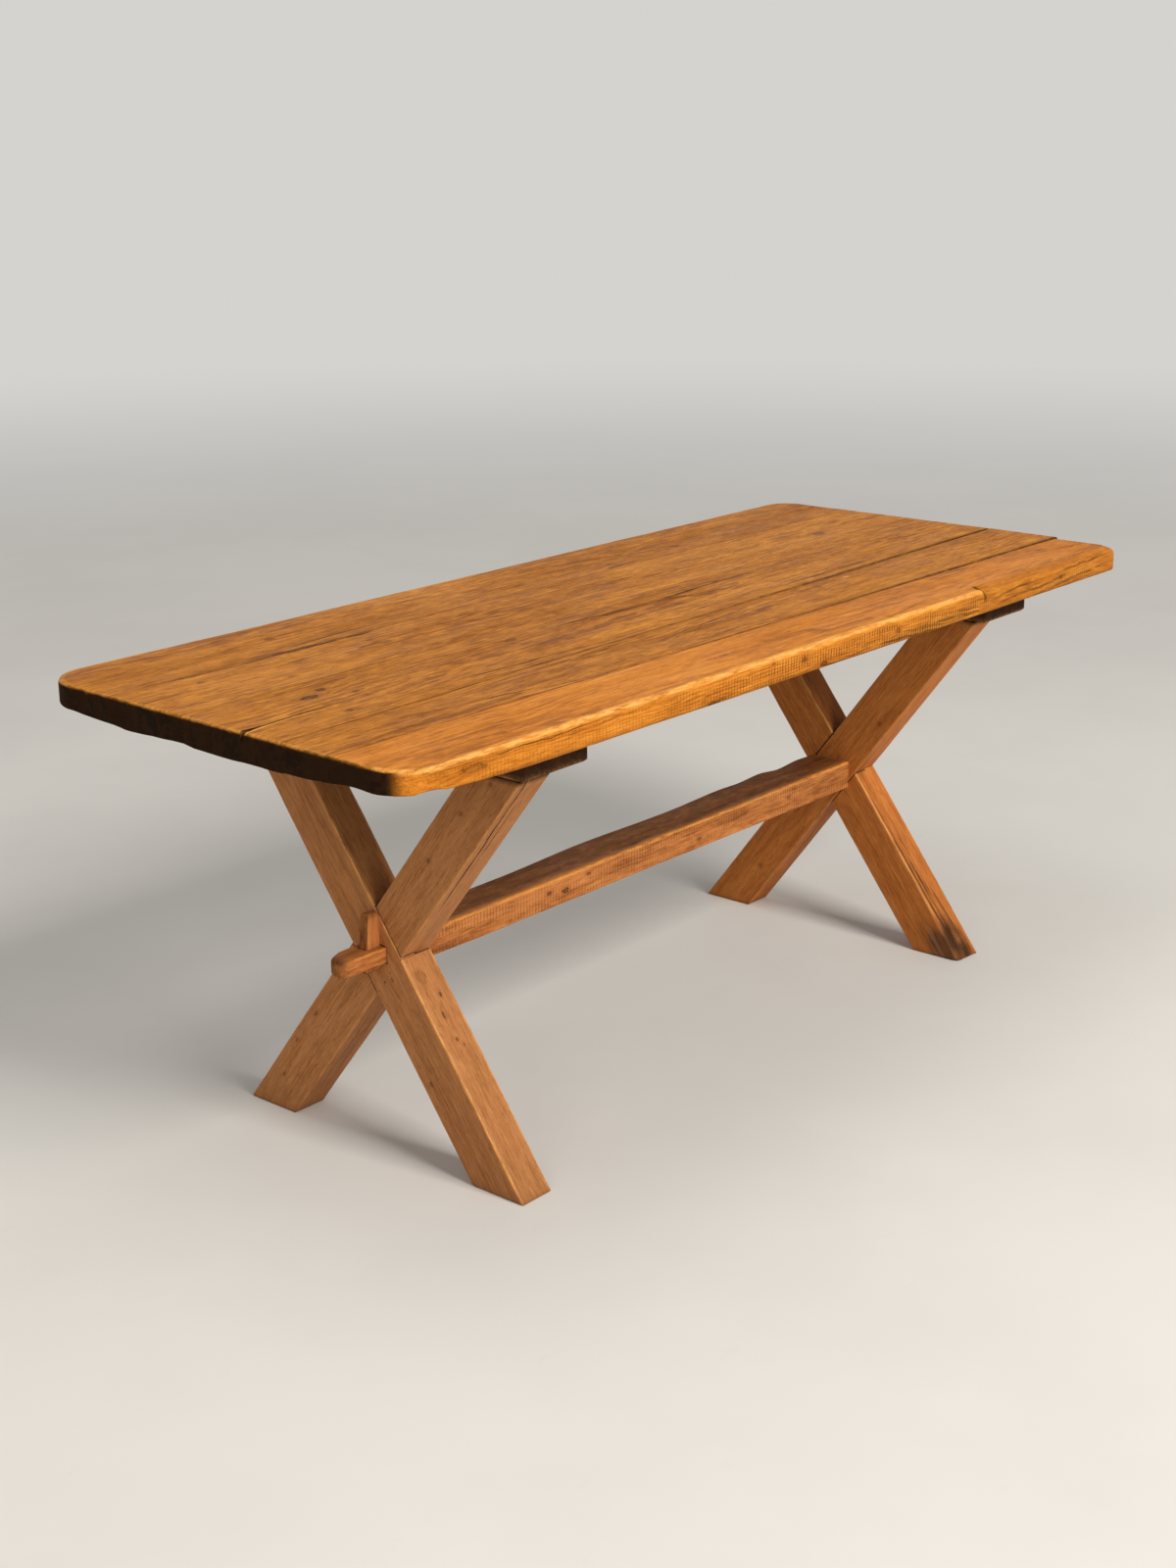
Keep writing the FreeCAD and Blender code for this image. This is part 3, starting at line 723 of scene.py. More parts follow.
    def _rings(self, wiring: Wiring, grain: object, moved: object, around: object) -> tuple[Socket, Socket]:
        """The year rings: dark late wood, and the even height of the bands.

        Args:
            wiring: the material's wiring.
            grain: the place in the grain.
            moved: the place in this piece's own pattern.
            around: how near a knot the wood is.

        Returns:
            The late wood's strength, and the height of the bands.
        """
        flat = wiring.scaled(grain, (0.0, 1.0, 1.0))
        radius = wiring.node("VectorMath", {0: flat}, operation="LENGTH").outputs["Value"]
        turns = wiring.math("DIVIDE", radius, self.ring_spacing)
        bend = wiring.noise(moved, (1.5, 8.0, 8.0), 3.0, 0.5, 0.4)
        ripple = wiring.noise(moved, (12.0, 80.0, 80.0), 3.0, 0.6)
        for layer, strength in ((bend, 10.0), (ripple, 1.3), (around, 3.0)):
            turns = wiring.plus(turns, wiring.times(layer, strength))
        share = wiring.math("FRACT", turns)
        late = wiring.times(wiring.span(share, 0.25, 0.9), wiring.span(share, 1.0, 0.93))
        strength = wiring.span(wiring.noise(moved, (2.4, 22.0, 22.0), 3.0), 0.35, 0.65, 0.15, 1.0)
        return wiring.times(late, strength), late

    def _knots(
        self, wiring: Wiring, grain: object, moved: object, knots: Sequence[Knot]
    ) -> tuple[Socket, Socket]:
        """Masks of the wood that bends round the knots, and of the knots' dark hearts.

        Args:
            wiring: the material's wiring.
            grain: the place in the grain.
            moved: the place in this piece's own pattern.
            knots: the knots, in the grain.

        Returns:
            The two masks.
        """
        around = wiring.plus(0.0, 0.0)
        heart = around
        uneven = wiring.noise(moved, (90.0, 210.0, 210.0), 3.0, 0.6)
        uneven = wiring.times(wiring.minus(uneven, 0.5), 1.9)
        for knot in knots:
            toward = wiring.node("VectorMath", {0: grain, 1: knot.place}, operation="SUBTRACT").outputs[0]
            across = 1.0 / knot.size
            toward = wiring.scaled(toward, (1.0 / (knot.size * knot.stretch), across, across))
            away = wiring.node("VectorMath", {0: toward}, operation="LENGTH").outputs["Value"]
            away = wiring.plus(away, uneven)
            around = wiring.math("MAXIMUM", around, wiring.span(away, 3.4, 0.6, 0.0, 0.6 * knot.tone))
            rim = wiring.span(away, 1.25, 0.95, 0.0, knot.tone)
            core = wiring.span(away, 0.85, 0.5, 0.0, 0.45 * knot.tone)
            heart = wiring.math("MAXIMUM", heart, wiring.minus(rim, core))
        return around, heart

    def _drawn_streaks(
        self, wiring: Wiring, colour: object, grain: object, moved: object, streaks: Sequence[Streak]
    ) -> Socket:
        """The colour with each line drawn into it.

        Args:
            wiring: the material's wiring.
            colour: the colour so far.
            grain: the place in the grain.
            moved: the place in this piece's own pattern.
            streaks: the lines, in the grain.

        Returns:
            The new colour.
        """
        along, across, depth = wiring.axes(grain)
        waver = wiring.noise(moved, (13.0, 4.0, 4.0), 4.0, 0.62)
        waver = wiring.times(wiring.minus(waver, 0.5), 14.0 * MM)
        broken = wiring.span(wiring.noise(moved, (26.0, 240.0, 240.0), 3.0, 0.6), 0.30, 0.52)
        for streak in streaks:
            axis, other = (2, 1) if streak.is_on_edge else (1, 2)
            bent = wiring.plus((across, depth)[axis - 1], waver)
            off_face = wiring.minus((across, depth)[other - 1], streak.start[other])
            on_face = wiring.span(wiring.math("ABSOLUTE", off_face), 14 * MM, 9 * MM)
            run = streak.stop[0] - streak.start[0]
            share = wiring.math("DIVIDE", wiring.minus(along, streak.start[0]), run)
            level = wiring.times(share, streak.stop[axis] - streak.start[axis])
            away = wiring.math("ABSOLUTE", wiring.minus(wiring.minus(bent, streak.start[axis]), level))
            tips = wiring.times(wiring.span(share, 0.0, 0.25), wiring.span(share, 1.0, 0.75))
            reach = wiring.times(tips, streak.width)
            core = wiring.span(wiring.math("DIVIDE", away, wiring.plus(reach, 0.05 * MM)), 1.0, 0.3)
            mask = wiring.times(wiring.times(wiring.times(core, broken), streak.tone), on_face)
            colour = wiring.mix(mask, colour, self.worn if streak.is_pale else self.patina_and_shade)
        return colour

    def _saw_lines(self, wiring: Wiring, moved: object) -> Socket:
        """The marks of the saw where a face was left as sawn.

        Args:
            wiring: the material's wiring.
            moved: the place in this piece's own pattern.

        Returns:
            A mask of the marks.
        """
        along = wiring.axes(moved)[0]
        waver = wiring.noise(moved, (70.0, 30.0, 30.0), 3.0, 0.6)
        teeth = wiring.times(along, 2.0 * math.pi / self.saw_spacing)
        teeth = wiring.math("SINE", wiring.plus(teeth, wiring.times(waver, 5.0)))
        lines = wiring.span(teeth, 0.0, 0.9)
        patches = wiring.span(wiring.noise(moved, (9.0, 40.0, 60.0), 4.0, 0.65), 0.38, 0.56)
        marks = wiring.times(lines, patches)
        return wiring.times(wiring.attribute("sawn"), marks)

    @staticmethod
    def _turned(wiring: Wiring, vector: object, angle: float) -> Socket:
        """Coordinates turned on the face, for marks that cross the grain."""
        inputs = {"Vector": vector, "Angle": angle}
        return wiring.node("VectorRotate", inputs, rotation_type="Z_AXIS").outputs[0]


# The worn colour is also the painted highlight on the arrises; the near-black raw colour is bare end grain,
# darkened further as painted shade on the table's ends.
TOP_FINISH = TimberFinish(
    slot="top_wood",
    pale=(0.690, 0.275, 0.034), middle=(0.455, 0.158, 0.014), deep=(0.215, 0.062, 0.005),
    patina_and_shade=(0.026, 0.010, 0.003), worn=(0.860, 0.430, 0.110), raw=(0.011, 0.005, 0.002),
    ring_spacing=5.0 * MM, figure_tone=0.85, mottle_tone=0.85, strand_tone=1.35,
    fibre_tone=1.5, ring_tone=0.36, stain_tone=0.3, fleck_tone=0.6,
)
FRONT_FINISH = replace(
    TOP_FINISH,
    pale=(0.760, 0.288, 0.036), middle=(0.560, 0.182, 0.016), deep=(0.290, 0.084, 0.007),
    figure_tone=1.0, mottle_tone=0.8, strand_tone=1.1, fibre_tone=1.1, stain_tone=0.2, fleck_tone=0.3,
)
LEG_FINISH = TimberFinish(
    slot="leg_wood",
    pale=(0.560, 0.250, 0.090), middle=(0.430, 0.175, 0.058), deep=(0.270, 0.100, 0.031),
    patina_and_shade=(0.045, 0.018, 0.008), worn=(0.720, 0.330, 0.100), raw=(0.100, 0.048, 0.022),
    ring_spacing=3.4 * MM, broad_tone=0.6, figure_tone=0.6, mottle_tone=0.5,
    strand_tone=1.0, stain_tone=0.08, fleck_tone=0.3, rough_low=0.42, rough_high=0.62,
)
FAR_LEG_FINISH = replace(
    LEG_FINISH,
    pale=(0.650, 0.235, 0.054), middle=(0.475, 0.152, 0.032), deep=(0.250, 0.072, 0.015),
    raw=(0.190, 0.110, 0.064), figure_tone=0.9,
)
STRETCHER_FINISH = TimberFinish(
    slot="stretcher_wood",
    pale=(0.640, 0.250, 0.074), middle=(0.490, 0.172, 0.046), deep=(0.240, 0.076, 0.020),
    patina_and_shade=(0.038, 0.014, 0.006), worn=(0.760, 0.300, 0.060), raw=(0.100, 0.042, 0.018),
    ring_spacing=3.0 * MM, figure_tone=1.2, mottle_tone=0.9, stain_tone=0.25,
)
KEY_FINISH = TimberFinish(
    slot="key_wood",
    pale=(0.700, 0.270, 0.082), middle=(0.560, 0.200, 0.056), deep=(0.290, 0.092, 0.024),
    patina_and_shade=(0.040, 0.015, 0.007), worn=(0.680, 0.290, 0.080), raw=(0.150, 0.060, 0.022),
    ring_spacing=2.6 * MM, figure_tone=0.8, mottle_tone=0.5, stain_tone=0.12, fleck_tone=0.2,
)
# The cleat's colours are darkened as painted shade, for the shadow that the top casts on it.
CLEAT_FINISH = TimberFinish(
    slot="cleat_wood",
    pale=(0.115, 0.045, 0.015), middle=(0.068, 0.026, 0.009), deep=(0.032, 0.012, 0.005),
    patina_and_shade=(0.026, 0.011, 0.006), worn=(0.420, 0.180, 0.060), raw=(0.080, 0.038, 0.018),
    rough_low=0.5, rough_high=0.7,
)
TONGUE_FINISH = TimberFinish(
    slot="tongue_wood",
    pale=(0.360, 0.200, 0.095), middle=(0.270, 0.145, 0.066), deep=(0.140, 0.070, 0.032),
    patina_and_shade=(0.060, 0.030, 0.016), worn=(0.420, 0.240, 0.120), raw=(0.240, 0.130, 0.060),
    rough_low=0.6, rough_high=0.8,
)


@dataclass(frozen=True)
class SteelFinish:
    """Dull steel with brown rust in its hollows."""

    slot: str = "screw_steel"
    metal: Colour = (0.30, 0.28, 0.26)
    rust: Colour = (0.12, 0.055, 0.03)

    def material(self, name: str) -> Material:
        """The finish as a procedural material.

        Args:
            name: the material's name.

        Returns:
            The material.
        """
        wiring = Wiring(name)
        place = wiring.node("TexCoord").outputs["Object"]
        spots = wiring.span(wiring.noise(place, (420.0, 420.0, 420.0), 4.0, 0.65), 0.46, 0.62)
        brushed = wiring.noise(place, (1500.0, 1500.0, 240.0), 2.0)
        colour = wiring.mix(spots, self.metal, self.rust)
        bump = wiring.node("Bump", {"Strength": 0.3, "Distance": 0.1 * MM, "Height": brushed})
        inputs = {"Base Color": colour, "Normal": bump.outputs["Normal"]}
        inputs["Metallic"] = wiring.span(spots, 0.0, 1.0, 1.0, 0.2)
        inputs["Roughness"] = wiring.span(spots, 0.0, 1.0, 0.42, 0.8)
        return wiring.finish(wiring.node("BsdfPrincipled", inputs))


@dataclass
class Surface:
    """What the finish has to know at each point of a piece."""

    grain: Array
    wear_and_highlight: Array
    dirt_and_shade: Array
    raw: Array
    sawn: Array | float = 0.0
    joint_gap: Array | float = JOINT_REACH
    marks: Marks = Marks()

    @property
    def joint(self) -> Array | float:
        """How near each point is to a joint's line, from 1 on it to 0 at JOINT_REACH."""
        return 1.0 - self.joint_gap / JOINT_REACH

    def corner_dirt_and_shade(self, mesh: bpy.types.Mesh) -> Array:
        """The darkness at each face corner: the points' own, and painted shade that fills the walls of the
        cracks.

        Args:
            mesh: the piece's mesh.

        Returns:
            One number to a corner.
        """
        points = np.empty(len(mesh.loops), dtype=np.int32)
        mesh.loops.foreach_get("vertex_index", points)
        dirt_and_shade = self.dirt_and_shade[points]
        if not self.marks.cracks:
            return dirt_and_shade
        count = len(mesh.polygons)
        centres, normals = np.empty(3 * count), np.empty(3 * count)
        corners = np.empty(count, dtype=np.int32)
        mesh.polygons.foreach_get("center", centres)
        mesh.polygons.foreach_get("normal", normals)
        mesh.polygons.foreach_get("loop_total", corners)
        walls = np.zeros(count, dtype=bool)
        for crack in self.marks.cracks:
            walls |= crack.is_wall(centres.reshape(-1, 3), normals.reshape(-1, 3))
        # Crack walls take full darkness: painted shade inside the cracks.
        return np.where(np.repeat(walls, corners), 1.0, dirt_and_shade)


def put_in_place(piece: Piece, node: str, body: str, material: Material) -> None:
    """Smooth a piece, give it its material and put it in its node's place.

    Args:
        piece: the finished mesh.
        node: the node that it stands for.
        body: the body that it moves with.
        material: its material.
    """
    mesh = piece.data
    mesh.polygons.foreach_set("use_smooth", [True] * len(mesh.polygons))
    mesh.set_sharp_from_angle(angle=SHARP_ANGLE)
    mesh.materials.clear()
    mesh.materials.append(material)
    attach(piece, body)
    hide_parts(node)
    LOG.info("%s: %d faces", piece.name, len(mesh.polygons))


def dress(
    piece: Piece, node: str, finish: TimberFinish, surface: Surface, seed: int, body: str = TABLE
) -> None:
    """Store a wooden piece's surface values, finish it and put it in its node's place.

    Args:
        piece: the finished mesh.
        node: the node that it stands for.
        finish: its finish.
        surface: its values at each point.
        seed: moves the grain, so that no two pieces are alike.
        body: the body that it moves with.
    """
    mesh = piece.data
    grain = mesh.attributes.new("grain", "FLOAT_VECTOR", "POINT")
    grain.data.foreach_set("vector", surface.grain.astype(np.float32).ravel())
    for name in ("wear_and_highlight", "raw", "sawn", "joint"):
        stored = mesh.attributes.new(name, "FLOAT", "POINT")
        values = np.broadcast_to(clamped(getattr(surface, name)), len(mesh.vertices))
        stored.data.foreach_set("value", values.astype(np.float32))
    stored = mesh.attributes.new("dirt_and_shade", "FLOAT", "CORNER")
    stored.data.foreach_set("value", clamped(surface.corner_dirt_and_shade(mesh)).astype(np.float32))
    put_in_place(piece, node, body, finish.material(piece.name, seed, surface.marks))


def node_points(node: str) -> Array:
    """The points of a node of the frame."""
    return places_of(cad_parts[node])


def extent(points: Array, chosen: Array) -> tuple[Array, Array]:
    """The lowest and highest corners of the chosen points."""
    return points[chosen].min(axis=0), points[chosen].max(axis=0)


# ---- the top


@dataclass
class PlankTop:
    """The five planks of the top."""

    nodes: tuple[str, ...] = (
        "top_board_back",
        "top_board_mid_back",
        "top_board_centre",
        "top_board_mid_front",
        "top_board_front",
    )
    back_short: float = 16 * MM
    left_back_corner: float = 70 * MM
    right_back_corner: float = 52 * MM
    left_front_corner: float = 62 * MM
    right_front_corner: float = 42 * MM
    upper_arris: float = 7 * MM
    lower_arris: float = 3.5 * MM
    seam_arris: float = 1.1 * MM
    seam_arrises: tuple[tuple[float, float], ...] = (
        (0.9 * MM, 0.5 * MM), (0.9 * MM, 0.4 * MM), (1.0 * MM, 2.2 * MM), (0.8 * MM, 2.4 * MM),
    )
    seam_grime: tuple[tuple[float, float], ...] = ((0.55, 0.3), (0.5, 0.15), (0.7, 1.0), (0.45, 1.0))
    step: float = 7 * MM
    seams: tuple[tuple[float, float, float], ...] = (
        (216 * MM, 220 * MM, 0.4 * MM), (57 * MM, 52 * MM, 0.8 * MM),
        (-150 * MM, -106 * MM, 2.6 * MM), (-249 * MM, -252 * MM, 3.2 * MM),
    )
    gap_start: float = 120 * MM
    planed_run: float = 250 * MM
    planed_line: tuple[tuple[float, float], ...] = (
        (-0.389, 10.0 * MM), (-0.363, 8.0 * MM), (-0.327, 7.0 * MM), (-0.290, 8.7 * MM),
        (-0.272, 8.0 * MM), (-0.234, 4.0 * MM), (-0.177, 0.8 * MM), (-0.098, -0.8 * MM),
        (-0.017, -1.8 * MM), (0.031, -1.4 * MM), (0.055, 2.4 * MM), (0.131, -0.8 * MM),
        (0.185, -1.8 * MM), (0.212, 0.5 * MM), (0.281, 3.0 * MM), (0.302, 5.0 * MM),
        (0.385, 8.0 * MM),
    )
    wane_start: float = 455 * MM
    wane_width: float = 27 * MM
    wane_depth: float = 10 * MM
    chip_reach: float = 7.5 * MM
    nick_place: float = -585 * MM
    scoop_place: float = -897 * MM
    pith_depth: float = 95 * MM
    marks: dict[str, Marks] = field(default_factory=dict)

    def __post_init__(self) -> None:
        """Read the top's box from the frame."""
        high = [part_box(node)[1] for node in self.nodes]
        self.half_length = max(corner.x for corner in high)
        self.half_width = max(corner.y for corner in high)
        self.level = max(corner.z for corner in high)
        self.thick = self.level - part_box(self.nodes[0])[0].z

    def build(self) -> None:
        """Make and dress every plank."""
        for number, node in enumerate(self.nodes):
            self._plank(number, node)

    def _edge_lines(self, number: int) -> tuple[Callable, Callable]:
        """A plank's front and back edges, as places across the table at places along it.

        Args:
            number: the plank, counted from the back.

        Returns:
            The two edges, as functions of x.
        """

        def edge(seam: int, shift: float, x: Array) -> Array:
            """The edge on one side of a seam, or the table's own edge.

            Args:
                seam: the seam, from 0 at the table's back edge.
                shift: 1 for the plank behind the seam and -1 for the one before it.
                x: places along the table.

            Returns:
                Places across the table.
            """
            if seam in (0, len(self.nodes)):
                return np.full(np.shape(x), self.half_width if seam == 0 else -self.half_width)
            left, right, gap = self.seams[seam - 1]
            opened = 0.5 * gap * clamped((x - self.gap_start) / (self.half_length - self.gap_start))
            share = (x + self.half_length) / (2.0 * self.half_length)
            return left + (right - left) * share + shift * opened

        return partial(edge, number + 1, 1.0), partial(edge, number, -1.0)

    def _across_lines(self, number: int, width: float) -> tuple[Array, Array]:
        """The lines across a plank: a distance from its front edge and a share of its width.

        Args:
            number: the plank, counted from the back.
            width: its width at the table's middle.

        Returns:
            The distances and the shares.
        """
        first = self.upper_arris if self._is_front(number) else self.seam_arris
        last = self.upper_arris if number == 0 else self.seam_arris
        places = arris_lines(width, first, last, self.step)
        share = smooth_step(places, 2.4 * first, width - 2.4 * last)
        return places - share * width, share

    def _end(self, y: Array) -> Array:
        """How far the top's ends reach, at places across the table."""
        return self.half_length - self.back_short * (0.5 * y / self.half_width + 0.5)

    def _at_seam(self, table: Sequence[tuple[float, float]], seam: int, x: Array) -> Array:
        """A value that runs from a seam's left end to its right end."""
        left, right = table[min(max(seam, 1), len(table)) - 1]
        return left + (right - left) * smooth_step(x, -0.6, 0.7)

    def _corner(self, number: int, x: Array) -> Array:
        """The radius of the plan corner that is nearest, or nothing on the inner planks.

        Args:
            number: the plank, counted from the back.
            x: places along the table.

        Returns:
            The radii.
        """
        if number == 0:
            return np.where(x < 0, self.left_back_corner, self.right_back_corner)
        if self._is_front(number):
            return np.where(x < 0, self.left_front_corner, self.right_front_corner)
        return np.zeros(len(x))

    def _is_front(self, number: int) -> bool:
        """Whether a plank is the front one."""
        return number == len(self.nodes) - 1

    def _is_inner(self, number: int) -> bool:
        """Whether a plank lies between two others."""
        return 0 < number < len(self.nodes) - 1

    def _outward(self, number: int) -> float:
        """The direction across the table that leads out over a plank's free edge."""
        return 1.0 if number == 0 else -1.0

    def _outline(self, number: int, x: Array, y: Array) -> tuple[Array, Array, Array]:
        """Points moved to the rounded outline, with the distance of each from it.

        Args:
            number: the plank, counted from the back.
            x: places along a square top.
            y: places across it.

        Returns:
            The moved places along and across, and the distances.
        """
        end = self._end(y)
        x = x * end / self.half_length
        from_end = end - np.abs(x)
        if self._is_inner(number):
            return x, y, from_end
        corner = self._corner(number, x)
        outward = self._outward(number)
        from_side = self.half_width - outward * y
        moves, along, aside, from_arc = round_corner(from_end, from_side, corner)
        moved_x = np.where(moves, np.sign(x) * (end - corner + along), x)
        moved_y = np.where(moves, outward * (self.half_width - corner + aside), y)
        return moved_x, moved_y, np.where(moves, from_arc, np.minimum(from_end, from_side))

    def _inset(self, number: int, points: Array) -> Array:
        """The distance of finished points from the top's rounded outline.

        Args:
            number: the plank, counted from the back.
            points: one point to a row.

        Returns:
            The distances.
        """
        x, y = points[:, 0], points[:, 1]
        from_end = self._end(y) - np.abs(x)
        if self._is_inner(number):
            return from_end
        corner = self._corner(number, x)
        from_side = self.half_width - self._outward(number) * y
        at_corner = (from_end < corner) & (from_side < corner)
        round_inset = corner - np.hypot(corner - from_end, corner - from_side)
        return np.where(at_corner, round_inset, np.minimum(from_end, from_side))

    def _wane(self, number: int, x: Array, inset: Array) -> Array:
        """How far the round of the log lowers the front plank's upper edge.

        Args:
            number: the plank, counted from the back.
            x: places along the table.
            inset: distances from its outline.

        Returns:
            The drops.
        """
        if not self._is_front(number):
            return np.zeros(len(x))
        waver = Unevenness(81)
        width = self.wane_width * (1.0 + 0.22 * waver.line(x, 9.0))
        depth = self.wane_depth * (0.85 + 0.2 * waver.line(x + 3.0, 14.0))
        share = falling(inset, width)
        slope = depth * share**1.35 * smooth_step(x, self.wane_start - 3 * MM, self.wane_start + 6 * MM)
        chip = 9 * MM * bell(x - self.wane_start, self.chip_reach) * falling(inset, 21 * MM) ** 0.6
        nick = 1.6 * MM * bell(x - self.nick_place, 14 * MM) * falling(inset, 9 * MM)
        return slope + chip + nick

    def _plank(self, number: int, node: str) -> None:
        """Make and dress one plank.

        Args:
            number: the plank, counted from the back.
            node: its node.
        """
        front, back = self._edge_lines(number)
        is_front = self._is_front(number)
        offsets, shares = self._across_lines(number, float(back(0.0) - front(0.0)))
        length = 2.0 * self.half_length
        along = arris_lines(length, self.upper_arris, self.upper_arris, self.step) - self.half_length
        if is_front:
            chip = np.arange(-3, 4) * 4 * MM + self.wane_start
            along = np.unique(np.concatenate([along[np.abs(along - self.wane_start) > 16 * MM], chip]))
        levels = np.linspace(0.0, 1.0, 13 if is_front else 7)
        grid = BlockGrid(along, np.arange(len(offsets), dtype=float), levels)
        line = grid.points[:, 1].astype(int)
        x = grid.points[:, 0]
        y = front(x) + offsets[line] + shares[line] * (back(x) - front(x))
        behind = np.full(len(x), 1.0) if number == 0 else back(x) - y
        before = np.full(len(x), 1.0) if is_front else y - front(x)
        x, y, inset = self._outline(number, x, y)
        plan = np.stack([x, y, np.zeros(len(x))], axis=1)
        rough = Unevenness(11 + number)
        waver = 0.82 + 0.22 * rough.at(plan, (5.0, 5.0, 1.0))
        arris = self.upper_arris * (waver + 0.12 * rough.at(plan, (31.0, 31.0, 1.0)))
        chips = clamped(rough.at(plan + 2.0, (75.0, 75.0, 1.0)) - 0.25) * (x < 60 * MM - self.half_length)
        arris = arris + 7 * MM * chips
        drop = arc_drop(inset, arris) + self._wane(number, x, inset)
        uneven = 1.0 + 0.6 * rough.at(plan + 3.0, (24.0, 1.0, 1.0))
        for seam, gap in ((number, behind), (number + 1, before)):
            drop = np.maximum(drop, arc_drop(gap, uneven * self._at_seam(self.seam_arrises, seam, x)))
        sag = 0.35 * MM * (1.0 + rough.at(plan + 7.0, (3.2, 14.0, 1.0)))
        upper = self.level - drop - sag - 0.15 * MM * (1.0 + rough.at(plan, (22.0, 40.0, 1.0)))
        lower = self._underside(number, plan, inset, rough)
        z = lower + (upper - lower) * grid.points[:, 2]
        skin = np.exp(-np.maximum(inset, 0.0) / (6 * MM))
        spot = np.stack([x, y, z], axis=1)
        pull = skin * 0.5 * MM * (1.0 + rough.at(spot, (7.0, 7.0, 18.0)))
        x = x - np.sign(x) * pull * (self._end(y) - np.abs(x) < 30 * MM)
        if number == 0 or is_front:
            y = y - np.sign(y) * pull * (self.half_width - np.abs(y) < 30 * MM)
        piece = grid.to_object(node.replace("board", "plank"), np.stack([x, y, z], axis=1))
        marks = self.marks.get(node, Marks())
        marks.cut(piece)
        self._finish(piece, number, node, marks)

    def _underside(self, number: int, plan: Array, inset: Array, rough: Unevenness) -> Array:
        """The height of a plank's lower face, planed by itself at the left end.

        Args:
            number: the plank, counted from the back.
            plan: the places in plan.
            inset: their distances from the outline.
            rough: the plank's own unevenness.

        Returns:
            The heights.
        """
        share = clamped(1.0 - (plan[:, 0] + self.half_length) / self.planed_run)
        waves = share * 0.6 * MM * rough.at(plan + 11.0, (2.0, 40.0, 1.0))
        saw = 0.3 * MM * rough.at(plan + 5.0, (60.0, 12.0, 1.0))
        arris = self.lower_arris * (0.8 + 0.3 * rough.at(plan + 9.0, (9.0, 9.0, 1.0)))
        scoop = clamped(1.0 - ((plan[:, 0] - self.scoop_place) / (24 * MM)) ** 2) * self._is_front(number)
        bite = 5 * MM * scoop * falling(inset, 14 * MM)
        foot = self.level - self.thick + share * np.interp(plan[:, 1], *zip(*self.planed_line))
        return foot + waves + saw + arc_drop(inset, arris) + bite

    def _grain(self, number: int, points: Array) -> Array:
        """The place in the grain of points of a plank.

        Args:
            number: the plank, counted from the back.
            points: one point to a row.

        Returns:
            One place to a row.
        """
        front, back = self._edge_lines(number)
        x, y, z = points.T
        middle = 0.5 * (front(x) + back(x))
        pith = self.pith_depth if number % 2 else -self.pith_depth
        return np.stack([x, y - middle + 12 * MM * (number - 2), z - self.level + pith], axis=1)

    def _finish(self, piece: Piece, number: int, node: str, marks: Marks) -> None:
        """Store the surface values of a plank and dress it.

        Args:
            piece: the plank's mesh.
            number: the plank, counted from the back.
            node: its node.
            marks: what it shows of its own.
        """
        front, back = self._edge_lines(number)
        points = places_of(piece)
        x, y, z = points.T
        inset = np.maximum(self._inset(number, points), 0.0)
        under_top = self.level - z
        over_foot = z - (self.level - self.thick)
        # Pale band along the upper arrises: rubbing, and a painted highlight along the rounded arris; less at
        # the ends and the back, and less towards the right end.
        arris_distance = np.hypot(np.maximum(inset - 3 * MM, 0.0), np.maximum(under_top - 1.5 * MM, 0.0))
        at_end = inset == self._end(y) - np.abs(x)
        reach = np.where(at_end, 4.5 * MM, 7.0 * MM)
        wear_and_highlight = 0.9 * (1.0 - smooth_step(arris_distance / reach, 0.4, 1.0))
        wear_and_highlight *= np.where(at_end, 0.45, 0.55 if number == 0 else 1.0) * (1.0 - 0.4 * smooth_step(x, 0.0, 0.9))
        dirt_and_shade = np.zeros(len(points))
        for seam, gap in ((number, back(x) - y), (number + 1, y - front(x))):
            if 0 < seam < len(self.nodes):
                reach = 1.3 * self._at_seam(self.seam_arrises, seam, x) + 0.3 * MM
                near_seam = bell(np.maximum(gap, 0.0), reach)
                dirt_and_shade = np.maximum(dirt_and_shade, self._at_seam(self.seam_grime, seam, x) * near_seam)
        for crack in marks.cracks:
            dirt_and_shade = np.maximum(dirt_and_shade, 0.45 * crack.nearness(points, 5 * MM) * (under_top < 4 * MM))
        ragged = clamped(0.55 + 0.9 * Unevenness(19).at(points, (1.0, 95.0, 1.0))) * at_end * (x < 0.0)
        dirt_and_shade = np.maximum(dirt_and_shade, 0.8 * ragged * (1.0 - smooth_step(inset, 1.0 * MM, 5.0 * MM)))
        dirt_and_shade = np.maximum(dirt_and_shade, 0.45 * bell(over_foot, 7 * MM) * (inset < 6 * MM))
